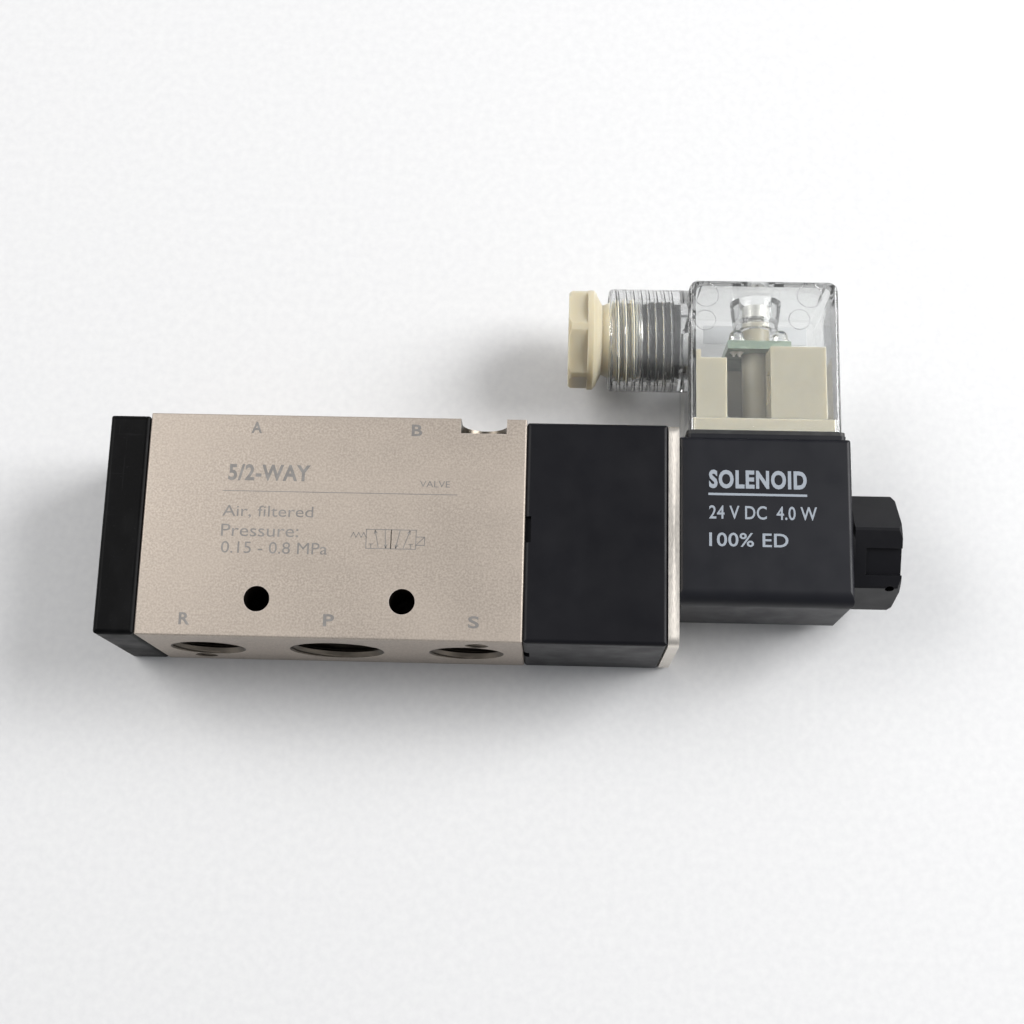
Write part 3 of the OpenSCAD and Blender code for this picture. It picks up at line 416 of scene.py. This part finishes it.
def moulded(name, colour, roughness, grain=0.18, depth=0.004, dust=0.0, dust_colour=(0.2, 0.19, 0.18),
            scratch=0.0, wear=0.0, subsurface=0.0, depth_in=1.6, mottle=0.08, shine=0.5):
    """Moulded plastic: fine skin texture, faint flow marks, dust, scratches and rubbed edges."""
    s = Shader(name)
    flow = s.noise(9.0, 3.0, stretch=(1, 2.2, 1), shift=2.0)
    tone = s.mix(s.remap(flow, 0.3, 0.7), scaled(colour, 1 - mottle), scaled(colour, 1 + mottle))
    rough = s.remap(s.noise(5.0, 4.0, shift=9.0), 0.3, 0.7, roughness - 0.05, roughness + 0.07)
    height = s.noise(grain, 2.0, shift=4.0)
    if dust:
        film = s.remap(s.noise(6.0, 5.0, stretch=(1, 1.8, 1), shift=6.0), 0.5, 0.8)
        specks = s.remap(s.noise(0.45, 1.0, shift=8.0), 0.69, 0.76)
        cover = s.maths("ADD", s.maths("MULTIPLY", film, 0.45), s.maths("MULTIPLY", specks, 0.5))
        cover = s.maths("MULTIPLY", cover, dust)
        tone = s.mix(cover, tone, dust_colour)
        rough = s.maths("ADD", rough, s.maths("MULTIPLY", cover, 0.3))
    if scratch:
        along = s.remap(s.noise(0.35, 1.0, stretch=(1, 26, 1), shift=11.0), 0.7, 0.74)
        across = s.remap(s.noise(0.35, 1.0, stretch=(22, 1, 22), shift=13.0), 0.71, 0.75)
        lines = s.maths("MULTIPLY", s.maths("MAXIMUM", along, across), scratch)
        tone = s.mix(lines, tone, scaled(dust_colour, 0.9))
        height = s.maths("SUBTRACT", height, s.maths("MULTIPLY", lines, 1.5))
    if wear:
        rubbed = s.maths("MULTIPLY", s.edges(0.3), s.remap(s.noise(1.4, 3.0, shift=15.0), 0.4, 0.62))
        tone = s.mix(s.maths("MULTIPLY", rubbed, wear), tone, dust_colour)
    return s.finish({
        "Base Color": tone, "Roughness": rough, "Normal": s.bump(height, depth),
        "Subsurface Weight": subsurface, "Subsurface Radius": (1.0, 0.85, 0.6),
        "Subsurface Scale": depth_in * MM, "Specular IOR Level": shine,
    })


def metal(name, colour, roughness, brush=None, tarnish=0.15, grain=0.12, depth=0.003, dull=(0.3, 0.27, 0.22)):
    """Bare or plated metal. brush is the stretch of its polishing lines on each axis."""
    s = Shader(name)
    lines = s.noise(grain, 2.0, stretch=brush or (1, 1, 1), shift=2.0)
    stain = s.remap(s.noise(3.5, 4.0, shift=5.0), 0.45, 0.8, 0.0, tarnish)
    tone = s.mix(s.remap(lines, 0.3, 0.7), scaled(colour, 0.9), scaled(colour, 1.06))
    tone = s.mix(stain, tone, dull)
    rough = s.maths("ADD", s.remap(lines, 0.3, 0.7, roughness - 0.05, roughness + 0.07), stain)
    return s.finish({
        "Base Color": tone, "Metallic": 1.0, "Roughness": rough, "Normal": s.bump(lines, depth),
        "Anisotropic": 0.35 if brush else 0.0,
    })


def rubber(name, colour):
    s = Shader(name)
    bloom = s.remap(s.noise(2.0, 4.0), 0.45, 0.75, 0.0, 0.4)
    tone = s.mix(bloom, colour, (0.06, 0.06, 0.06))
    return s.finish({
        "Base Color": tone, "Roughness": s.remap(bloom, 0.0, 0.4, 0.5, 0.72),
        "Normal": s.bump(s.noise(0.15, 2.0, shift=3.0), 0.006),
    })


def clear_plastic(name, tint, ior, roughness, haze, shade, milk=0.0, smoke=0.0):
    """Clear moulding with faint flow ripples and fine scratches. Lamps shine through it.
    milk is the share of light that the plastic scatters back, and smoke is the share of light
    lost over 10 mm of plastic, so that walls seen on edge are darker."""
    s = Shader(name)
    ripple = s.noise(7.0, 2.0, stretch=(1, 1.6, 1))
    scratches = s.remap(s.noise(0.3, 1.0, stretch=(1, 18, 3), shift=4.0), 0.73, 0.76)
    rough = s.maths("ADD", s.remap(s.noise(3.0, 4.0, shift=6.0), 0.45, 0.8, roughness, roughness + haze),
                    s.maths("MULTIPLY", scratches, 0.12))
    normal = s.bump(scratches, 0.002, s.bump(ripple, 0.03))
    glass = s.node("ShaderNodeBsdfPrincipled", {
        "Base Color": (*tint, 1.0), "Roughness": rough, "IOR": ior, "Transmission Weight": 1 - milk,
        "Normal": normal,
    })
    through = s.node("ShaderNodeBsdfTransparent", {"Color": (*grey(shade), 1.0)})
    path = s.node("ShaderNodeLightPath")
    both = s.node("ShaderNodeMixShader",
                  {0: path.outputs["Is Shadow Ray"], 1: glass.outputs[0], 2: through.outputs[0]})
    output = s.node("ShaderNodeOutputMaterial", {"Surface": both.outputs[0]})
    if smoke:
        inside = s.node("ShaderNodeVolumeAbsorption",
                        {"Color": (*grey(0.0), 1.0), "Density": -math.log(1 - smoke) / (10 * MM)})
        s.tree.links.new(inside.outputs[0], output.inputs["Volume"])
    return s.material


def printed(name, colour, roughness, cover):
    """Ink or laser marking, thinner in places."""
    s = Shader(name)
    worn = s.remap(s.noise(0.5, 4.0), 0.55, 0.75, 0.0, cover)
    tone = s.mix(worn, colour, scaled(colour, 0.6))
    return s.finish({
        "Base Color": tone, "Roughness": s.remap(worn, 0.0, 1.0, roughness, roughness + 0.15),
        "Normal": s.bump(s.noise(0.2, 2.0), 0.004),
    })


def laser_mark(name, colour):
    """Grey etched marking in the anodised skin."""
    s = Shader(name)
    faded = s.remap(s.noise(1.2, 4.0), 0.4, 0.75)
    tone = s.mix(faded, colour, scaled(colour, 1.35))
    return s.finish({
        "Base Color": tone, "Metallic": 0.35, "Roughness": 0.5,
        "Normal": s.bump(s.noise(0.2, 2.0), 0.01),
    })


def circuit_board(name):
    """Green solder mask with copper tracks under it, glass cloth at the edges."""
    s = Shader(name)
    weave = s.noise(0.25, 1.0, stretch=(3, 1, 1))
    tracks = s.remap(s.noise(1.4, 0.0, stretch=(2.5, 1, 1), shift=2.0), 0.5, 0.52)
    tone = s.mix(tracks, (0.12, 0.17, 0.135), (0.19, 0.25, 0.2))
    tone = s.mix(s.remap(weave, 0.4, 0.7, 0.0, 0.3), tone, (0.3, 0.33, 0.2))
    return s.finish({
        "Base Color": tone, "Roughness": 0.4, "Coat Weight": 0.4,
        "Normal": s.bump(tracks, 0.03),
    })


def winding_wire(name):
    """Enamelled copper wire, one turn beside the next along the tube."""
    s = Shader(name)
    wave = s.node("ShaderNodeTexWave", {"Vector": s.place, "Scale": 0.16 / MM, "Distortion": 0.3},
                  bands_direction="X")
    tone = s.mix(wave.outputs[1], (0.3, 0.1, 0.03), (0.75, 0.34, 0.13))
    return s.finish({
        "Base Color": tone, "Metallic": 0.7, "Roughness": 0.35,
        "Normal": s.bump(wave.outputs[1], 0.05),
    })


def floor_paper(name):
    s = Shader(name)
    fibre = s.noise(1.5, 4.0)
    tone = s.mix(s.remap(fibre, 0.3, 0.7), (0.66, 0.66, 0.664), (0.7, 0.7, 0.7))
    return s.finish({"Base Color": tone, "Roughness": 0.85, "Normal": s.bump(fibre, 0.01)})


BODY_COLOUR = (0.42, 0.362, 0.308)
# one ivory nylon in two brightnesses: a darker copy for the ivory parts behind the clear walls (painted
# shade) and a brighter copy for the gland (painted light)
IVORY_SHADED = (0.29, 0.269, 0.204)
IVORY_LIT = (0.5, 0.452, 0.335)

# dark machined metal for the walls of the ports, holes and notch: its darkness is painted shade in these
# recesses
BORE_SHADE = metal("port_bore_look", (0.15, 0.13, 0.106), 0.32, brush=(6, 1, 6), tarnish=0.3,
                  dull=(0.03, 0.026, 0.022))
MATERIALS = {
    "anodised_body": blasted_metal("anodised_body_look", BODY_COLOUR),
    "black_cap": moulded("black_cap_look", (0.0014, 0.0014, 0.0016), 0.42, dust=0.6, scratch=0.2, wear=0.12,
                         dust_colour=(0.022, 0.022, 0.023), depth=0.01, shine=0.08),
    "black_block": moulded("black_block_look", (0.0036, 0.0036, 0.0055), 0.44, dust=0.12, wear=0.12,
                           dust_colour=(0.04, 0.04, 0.045), shine=0.2),
    "black_coil": moulded("black_coil_look", (0.005, 0.0054, 0.0085), 0.46, dust=0.09, wear=0.1,
                          dust_colour=(0.05, 0.05, 0.055), depth=0.005, shine=0.3),
    "black_nut": moulded("black_nut_look", (0.0045, 0.0045, 0.006), 0.36, dust=0.1, wear=0.2,
                         dust_colour=(0.05, 0.05, 0.05), shine=0.2),
    "nickel_plate": metal("nickel_plate_look", (0.8, 0.75, 0.68), 0.42, brush=(1, 8, 8), tarnish=0.06),
    "zinc_screw": metal("zinc_screw_look", (0.66, 0.65, 0.61), 0.28, brush=(6, 1, 1), tarnish=0.25),
    "spring_steel": metal("spring_steel_look", (0.6, 0.6, 0.59), 0.22),
    "spool_alloy": metal("spool_alloy_look", (0.78, 0.78, 0.8), 0.18, brush=(1, 12, 12)),
    "piston_polymer": moulded("piston_polymer_look", (0.72, 0.7, 0.64), 0.35, subsurface=0.2),
    "seal_rubber": rubber("seal_rubber_look", (0.012, 0.012, 0.012)),
    "brass": metal("brass_look", (0.78, 0.58, 0.25), 0.24, brush=(1, 10, 1), dull=(0.3, 0.17, 0.06)),
    "stainless": metal("stainless_look", (0.62, 0.61, 0.59), 0.22, brush=(1, 12, 12)),
    "frame_steel": metal("frame_steel_look", (0.5, 0.5, 0.49), 0.4, tarnish=0.35),
    "bobbin_nylon": moulded("bobbin_nylon_look", (0.62, 0.58, 0.46), 0.45, subsurface=0.15),
    "winding": winding_wire("winding_look"),
    "tinned_blade": metal("tinned_blade_look", (0.76, 0.74, 0.7), 0.26, brush=(1, 14, 1)),
    "ivory_nylon": moulded("ivory_nylon_look", IVORY_SHADED, 0.42, dust=0.12, dust_colour=(0.42, 0.36, 0.26),
                           subsurface=0.8, depth_in=3.0, mottle=0.035, depth=0.005),
    "board": circuit_board("board_look"),
    "lamp": clear_plastic("lamp_look", (0.95, 0.96, 0.95), 1.5, 0.08, 0.08, 0.8),
    "component": moulded("component_look", (0.05, 0.06, 0.09), 0.35),
    "clear_housing": clear_plastic("clear_housing_look", (0.95, 0.957, 0.953), 1.56, 0.015, 0.03, 0.93,
                                   milk=0.03, smoke=0.3),
}
BODY_MARK = laser_mark("body_mark_look", (0.2, 0.19, 0.18))
COIL_PRINT = printed("coil_print_look", (0.27, 0.3, 0.34), 0.55, 0.3)
# brighter copy of the ivory nylon for the gland: painted light
GLAND_NYLON_LIT = moulded("gland_nylon_look", IVORY_LIT, 0.42, dust=0.12, dust_colour=(0.42, 0.36, 0.26),
                      subsurface=1.0, depth_in=3.5, mottle=0.03, depth=0.005)
FROST = clear_plastic("frosted_look", (0.6, 0.61, 0.62), 1.3, 0.5, 0.2, 0.6, milk=0.5)
SOLDER = metal("solder_look", (0.7, 0.7, 0.7), 0.3)
FLOOR = floor_paper("floor_look")

for node in NODES.values():
    slot = node.material_slots[0].material.name
    node.material_slots[0].material = MATERIALS[slot]
# the gland gets a lit copy of the ivory nylon, brighter than the shaded copy on the terminal block behind the
# clear walls: painted light on the gland, painted shade inside the plug
NODES["gland_nut"].material_slots[0].material = GLAND_NYLON_LIT

# ---------- valve body: threads in the ports ----------

PIPE_PITCH = 1.337
PIPE_DEPTH = 0.86
SCREW_PITCH = 0.7
SCREW_DEPTH = 0.36
# How far the cutting ridge starts inside the bore, and how far it runs out past the mouth
TAP_OVERLAP = 0.25
TAP_RUN_OUT = 1.6
# Reach of the painted shade along a bore, inwards and past the mouth, and beyond the wall's radius
BORE_INNER_END = -18.0
BORE_MOUTH = 3.0
BORE_MARGIN = 1.0
HOLE_START = 0.3
HOLE_END = 40.0
HOLE_MARGIN = 0.1


def tap(piece, mount, pitch, depth):
    """Cuts a V thread into a bore of the piece, from past its mouth to its stated depth."""
    radius = mount["dims"]["r_mm"]
    length = mount["dims"]["length_mm"]
    reach = (-length / 2, length / 2 + TAP_RUN_OUT)
    root, crest = (radius - TAP_OVERLAP, pitch * 0.47), (radius + depth, pitch * 0.06)
    groove = thread_solid(reach, pitch, root, crest, fade=(0.6, 0.0))
    combine(piece, moved(groove, facing(Vector(mount["pos_m"]) / MM, mount["axis"])))


# Box that holds the faces of the notch, but not the outer faces round it
NOTCH_LOW = BODY_HIGH - Vector((13.0, 4.0, 10.0))
NOTCH_HIGH = BODY_HIGH - Vector((3.5, 0.05, 0.05))


def shade_bores(piece):
    """Gives the walls of the ports, holes and notch a dark machined-metal look; the darkness is painted shade
    in these recesses.
    """
    holes = []
    for mount in MOUNTS.values():
        place, axis, dims = Vector(mount["pos_m"]) / MM, Vector(mount["axis"]), mount["dims"]
        if mount["kind"] == "threaded_hole":
            mouth = dims["length_mm"] / 2 + BORE_MOUTH
            holes.append((place, axis, dims["r_mm"] + BORE_MARGIN, BORE_INNER_END, mouth))
        elif mount["kind"] == "bolt_pattern":
            for side in (-0.5, 0.5):
                centre = place + Vector((side * dims["spacing_x_mm"], 0, 0))
                holes.append((centre, axis, dims["hole_r_mm"] + HOLE_MARGIN, HOLE_START, HOLE_END))
    for face in piece.data.polygons:
        centre = face.center / MM
        if all(low < c < high for low, c, high in zip(NOTCH_LOW, centre, NOTCH_HIGH)):
            face.material_index = 1
        for place, axis, reach, start, end in holes:
            along = (centre - place).dot(axis)
            outer_face = face.normal.dot(axis) > 0.98
            if start < along < end and (centre - place - along * axis).length < reach and not outer_face:
                face.material_index = 1


body = copy_of_node("valve_body", "valve_body_tapped")
for name, mount in MOUNTS.items():
    if name.startswith("port_") and mount["kind"] == "threaded_hole":
        tap(body, mount, PIPE_PITCH, PIPE_DEPTH)
    elif name.startswith("manifold_"):
        tap(body, mount, SCREW_PITCH, SCREW_DEPTH)
finish_piece(body, "anodised_body", "valve")
# second slot: painted shade in the ports, holes and notch
body.data.materials.append(BORE_SHADE)
shade_bores(body)
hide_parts("valve_body")

# ---------- marks ----------

MARK_T = 0.03


def flat_text(text, low, high, z, weight=0.0):
    """Text as a thin closed plate that fills the box from low to high on the surface at height z."""
    curve = bpy.data.curves.new("text", "FONT")
    curve.body = text
    curve.size = 1.0
    curve.offset = weight
    curve.space_character = 1 + 3 * weight
    curve.extrude = 0.5
    curve.resolution_u = 4
    holder = bpy.data.objects.new("text", curve)
    bpy.context.scene.collection.objects.link(holder)
    bpy.context.view_layer.update()
    mesh = bpy.data.meshes.new_from_object(holder.evaluated_get(bpy.context.evaluated_depsgraph_get()))
    bpy.data.objects.remove(holder)
    bm = bmesh.new()
    bm.from_mesh(mesh)
    bmesh.ops.remove_doubles(bm, verts=bm.verts, dist=1e-5)
    xs = [v.co.x for v in bm.verts]
    ys = [v.co.y for v in bm.verts]
    wide, tall = (high[0] - low[0]) / (max(xs) - min(xs)), (high[1] - low[1]) / (max(ys) - min(ys))
    for v in bm.verts:
        x = low[0] + (v.co.x - min(xs)) * wide
        y = low[1] + (v.co.y - min(ys)) * tall
        v.co = Vector((x, y, z + v.co.z * MARK_T)) * MM
    return bm


def stroke(points, width, z):
    """Thin line of flat bars through the points."""
    parts = []
    for (x0, y0), (x1, y1) in zip(points, points[1:]):
        along = Vector((x1 - x0, y1 - y0, 0.0))
        length = along.length + width * 0.6
        turn = math.atan2(along.y, along.x)
        bm = bmesh.new()
        middle = Vector(((x0 + x1) / 2, (y0 + y1) / 2, z)) * MM
        place = (Matrix.Translation(middle) @ Matrix.Rotation(turn, 4, "Z")
                 @ Matrix.Diagonal((length * MM, width * MM, MARK_T * MM, 1.0)))
        bmesh.ops.create_cube(bm, size=1.0, matrix=place)
        parts.append(bm)
    return parts


def arrow(start, end, width, z, head=0.55):
    """Line with an open arrow head at its end."""
    run = Vector(end) - Vector(start)
    back = run.normalized() * head
    side = Vector((-back.y, back.x)) * 0.45
    tip = Vector(end)
    left, right = tip - back + side, tip - back - side
    return stroke([start, end], width, z) + stroke([left[:], end, right[:]], width, z)


def valve_symbol(x0, y0, box, width, z):
    """Circuit symbol of a 5/2 valve with a solenoid at the right and a spring at the left."""
    parts = []
    for k in (0, 1):
        left, right, top = x0 + k * box[0], x0 + (k + 1) * box[0], y0 + box[1]
        parts += stroke([(left, y0), (right, y0), (right, top), (left, top), (left, y0)], width, z)
    ports = [0.2, 0.5, 0.8]
    outlets = [0.35, 0.75]
    low = [x0 + box[0] * p for p in ports]
    high = [x0 + box[0] * p for p in outlets]
    gap = 0.15
    parts += arrow((low[1], y0 + gap), (high[0], y0 + box[1] - gap), width, z)
    parts += arrow((high[1], y0 + box[1] - gap), (low[2], y0 + gap), width, z)
    parts += stroke([(low[0], y0 + 0.1), (low[0], y0 + 0.8)], width, z)
    parts += stroke([(low[0] - 0.35, y0 + 0.8), (low[0] + 0.35, y0 + 0.8)], width, z)
    parts += arrow((low[1] + box[0], y0 + gap), (high[1] + box[0], y0 + box[1] - gap), width, z)
    parts += arrow((high[0] + box[0], y0 + box[1] - gap), (low[0] + box[0], y0 + gap), width, z)
    parts += stroke([(low[2] + box[0], y0 + 0.1), (low[2] + box[0], y0 + 0.8)], width, z)
    parts += stroke([(low[2] + box[0] - 0.35, y0 + 0.8), (low[2] + box[0] + 0.35, y0 + 0.8)], width, z)
    spring_y = y0 + box[1] * 0.7
    zigzag = [(x0 - 0.45 * i, spring_y + (0.45 if i % 2 else -0.45)) for i in range(7)]
    parts += stroke(zigzag, width, z)
    right = x0 + 2 * box[0]
    parts += stroke([(right, y0 + 0.7), (right + 1.5, y0 + 0.7), (right + 1.5, y0 + 2.2), (right, y0 + 2.2)],
                    width, z)
    parts += stroke([(right + 0.1, y0 + 0.8), (right + 1.4, y0 + 2.1)], width, z)
    return parts


def body_marks():
    """Port letters, a plain heading and rating, and the circuit symbol on the label face."""
    z = BODY_HIGH.z
    middle = (BODY_LOW.x + BODY_HIGH.x) / 2
    letter = (1.9, 2.15)
    low_y, high_y = BODY_LOW.y + 1.9, BODY_HIGH.y - 3.5
    letters = {
        "A": (MOUNTS["port_a"]["pos_m"][0] / MM - 2.0, high_y),
        "B": (MOUNTS["port_b"]["pos_m"][0] / MM + 1.5, high_y),
        "R": (MOUNTS["port_r"]["pos_m"][0] / MM - 1.6, low_y),
        "P": (middle + 0.1, low_y + 0.2),
        "S": (MOUNTS["port_s"]["pos_m"][0] / MM + 1.8, low_y + 0.4),
    }
    parts = []
    for text, (x, y) in letters.items():
        low = (x - letter[0] / 2, y)
        parts.append(flat_text(text, low, (low[0] + letter[0], low[1] + letter[1]), z, 0.025))
    left = BODY_LOW.x + 13.9
    rule_y = BODY_LOW.y + 25.9
    lines = [
        ("5/2-WAY", (left + 0.6, rule_y + 1.9), (14.5, 3.0), 0.03),
        ("VALVE", (middle + 14.9, rule_y + 1.3), (5.3, 1.15), 0.0),
        ("Air, filtered", (left, rule_y - 4.9), (16.0, 2.3), 0.0),
        ("Pressure:", (left, rule_y - 8.2), (13.6, 2.2), 0.0),
        ("0.15 - 0.8 MPa", (left + 0.2, rule_y - 11.2), (18.6, 2.1), 0.0),
    ]
    for text, low, size, weight in lines:
        parts.append(flat_text(text, low, (low[0] + size[0], low[1] + size[1]), z, weight))
    parts += stroke([(left - 0.2, rule_y), (middle + 21.5, rule_y)], 0.13, z)
    parts += valve_symbol(middle + 5.9, rule_y - 9.9, (4.35, 3.4), 0.14, z)
    return parts


def coil_print():
    """Plain rating printed on the coil."""
    z = COIL_HIGH.z
    left = COIL_LOW.x + 5.3
    top = COIL_LOW.y + 24.1
    return [
        flat_text("SOLENOID", (left, top - 3.4), (left + 17.2, top), z, 0.04),
        *stroke([(left, top - 4.45), (left + 17.1, top - 4.45)], 0.42, z),
        flat_text("24 V DC", (left, top - 8.95), (left + 10.1, top - 6.5), z, 0.012),
        flat_text("4.0 W", (left + 11.8, top - 8.95), (left + 18.9, top - 6.5), z, 0.012),
        flat_text("100% ED", (left, top - 13.9), (left + 13.8, top - 11.4), z, 0.012),
    ]


marks = piece_from(merged(body_marks()), "body_marks", "anodised_body", "valve")
marks.data.materials[0] = BODY_MARK
rating = piece_from(merged(coil_print()), "coil_print", "black_coil", "coil")
rating.data.materials[0] = COIL_PRINT

# ---------- clear plug ----------

GLAND_PITCH = 1.411
GROOVE_ROOT = (7.5, 0.46)
GROOVE_CREST = (8.25, 0.1)
RIDGE_ROOT = (6.9, 0.62)
RIDGE_CREST = (8.05, 0.09)
# Ejector marks on the inner face of the front wall: distance from the right and top, and radius
EJECTOR_MARKS = [(24.0, 2.7, 2.25), (5.2, 2.6, 2.25), (24.2, 7.6, 1.9), (7.1, 7.2, 1.9)]
EJECTOR_GROOVE = 0.09
HOUSING_T = 1.4
ROOF_Y = SCREW_TOP + 2.0

GLAND_AXIS = Matrix.Translation((0, GLAND_Y * MM, AXIS_Z * MM))

housing = copy_of_node("connector_housing", "plug_housing_clear")
bore_groove = thread_solid((PLUG_LOW.x - 1.2, PLUG_LOW.x + 12.6), GLAND_PITCH, GROOVE_ROOT, GROOVE_CREST,
                           fade=(0.0, 0.6))
combine(housing, moved(bore_groove, GLAND_AXIS))
for left, down, radius in EJECTOR_MARKS:
    place = (PLUG_HIGH.x - left, ROOF_Y - down, PLUG_HIGH.z - HOUSING_T)
    combine(housing, moved(ring_solid(radius, EJECTOR_GROOVE), facing(place, (0, 0, 1))))
finish_piece(housing, "clear_housing", "plug")
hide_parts("connector_housing")

gland_thread = thread_solid((PLUG_LOW.x + 0.9, GLAND_HIGH.x - 0.3), GLAND_PITCH, RIDGE_ROOT, RIDGE_CREST,
                            fade=(0.7, 0.4))
ridge = piece_from(moved(gland_thread, GLAND_AXIS), "gland_thread", "ivory_nylon", "gland")
ridge.data.materials[0] = GLAND_NYLON_LIT

rear_z = PLUG_LOW.z + HOUSING_T
# grey, rough, milky sheet on the inner face of the rear wall, which darkens the area seen behind it
panel_low = (PLUG_HIGH.x - 22.6, ROOF_Y - 5.7, rear_z)
panel_high = (PLUG_HIGH.x - 2.9, ROOF_Y - 2.0, rear_z + 0.15)
panel = rounded_box(panel_low, panel_high, 0.05, 1)
frost = piece_from(panel, "frosted_panel", "clear_housing", "plug")
frost.data.materials[0] = FROST


LAMP_Z = (LAMPS_LOW.z + LAMPS_HIGH.z) / 2
LAMP_XS = (LAMPS_LOW.x + 1.7, LAMPS_HIGH.x - 1.7)
LEAD_SIDE = 0.55


def lamp_leads():
    """Lead frame inside each lamp: two posts, one with the chip's cup."""
    parts = []
    foot = BOARD_HIGH.y
    cup = [(0.0, 0.0), (0.0, 0.3), (0.35, 0.5), (0.35, 0.38), (0.15, 0.2), (0.15, 0.0)]
    for x in LAMP_XS:
        for side, top in ((-LEAD_SIDE, 1.5), (LEAD_SIDE, 1.25)):
            low = (x + side - 0.2, foot - 1.9, LAMP_Z - 0.2)
            high = (x + side + 0.2, foot + top, LAMP_Z + 0.2)
            parts.append(rounded_box(low, high, 0.05, 1))
        parts.append(moved(lathe(cup, 20), facing((x - LEAD_SIDE, foot + 1.45, LAMP_Z), (0, 1, 0))))
    return parts


piece_from(merged(lamp_leads()), "lamp_leads", "tinned_blade", "plug")


def solder_points():
    """Pads and solder cones of the board."""
    parts = []
    cone = [(0.0, 0.0), (0.0, 0.75), (0.12, 0.6), (0.5, 0.28), (0.8, 0.2), (0.8, 0.0)]
    for x in LAMP_XS:
        for side in (-LEAD_SIDE, LEAD_SIDE):
            parts.append(moved(lathe(cone, 16), facing((x + side, BOARD_LOW.y, LAMP_Z), (0, -1, 0))))
    return parts


solder = piece_from(merged(solder_points()), "solder_points", "tinned_blade", "plug")
solder.data.materials[0] = SOLDER

# ---------- springs and grommet as copies of their nodes ----------------


def shortened(node, name):
    """A piece that stands for a CAD node: a welded copy with its own mesh and the node's finish, in place of
    the hidden node.
    """
    piece = copy_of_node(node, name)
    finish_piece(piece, NODES[node].material_slots[0].material.name.replace("_look", ""),
                 NODES[node]["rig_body"])
    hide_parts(node)
    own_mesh(piece)
    return piece


shortened("return_spring", "return_spring_coil")
shortened("armature_spring", "armature_spring_coil")
shortened("override_spring", "override_spring_coil")
shortened("gland_grommet", "gland_grommet_rubber")

# ---------- floor and light ----------

FLOOR_SIZE = 4.0
FLOOR_GAP = 0.02
# Sine of the elevation and brightness of the sky, from near the horizon to overhead
SKY_CLIMB = (0.02, 0.5, 0.24, 0.36)


def make_floor():
    bm = bmesh.new()
    bmesh.ops.create_grid(bm, x_segments=1, y_segments=1, size=FLOOR_SIZE)
    mesh = bpy.data.meshes.new("floor")
    bm.to_mesh(mesh)
    bm.free()
    floor = bpy.data.objects.new("floor", mesh)
    floor.location.z = CAD_BOX[0].z - FLOOR_GAP * MM
    mesh.materials.append(FLOOR)
    bpy.context.scene.collection.objects.link(floor)


def area_light(name, place, target, size, power, colour):
    data = bpy.data.lights.new(name, "AREA")
    data.shape = "RECTANGLE"
    data.size, data.size_y = size
    data.energy = power
    data.color = colour
    lamp = bpy.data.objects.new(name, data)
    lamp.location = place
    lamp.rotation_mode = "QUATERNION"
    lamp.rotation_quaternion = (Vector(place) - Vector(target)).to_track_quat("Z", "Y")
    bpy.context.scene.collection.objects.link(lamp)


def make_light():
    target = (CAD_BOX[0] + CAD_BOX[1]) / 2
    area_light("left", (-0.62, 0.28, 0.72), target, (0.6, 0.6), 5.6, (1.0, 0.985, 0.965))
    area_light("right", (0.8, 0.26, 0.62), target, (0.5, 0.6), 12.2, (1.0, 1.0, 1.0))
    world = bpy.data.worlds.new("studio")
    world.use_nodes = True
    tree = world.node_tree
    sky = tree.nodes["Background"]
    sky.inputs["Color"].default_value = (0.94, 0.96, 1.0, 1.0)
    # darker towards the horizon, so that clear edges show as grey lines
    split = tree.nodes.new("ShaderNodeSeparateXYZ")
    climb = tree.nodes.new("ShaderNodeMapRange")
    climb.interpolation_type = "SMOOTHSTEP"
    for key, value in zip((1, 2, 3, 4), SKY_CLIMB):
        climb.inputs[key].default_value = value
    tree.links.new(tree.nodes.new("ShaderNodeTexCoord").outputs["Generated"], split.inputs[0])
    tree.links.new(split.outputs["Z"], climb.inputs[0])
    tree.links.new(climb.outputs[0], sky.inputs["Strength"])
    bpy.context.scene.world = world
    bpy.context.scene.view_settings.view_transform = "Standard"


make_floor()
make_light()
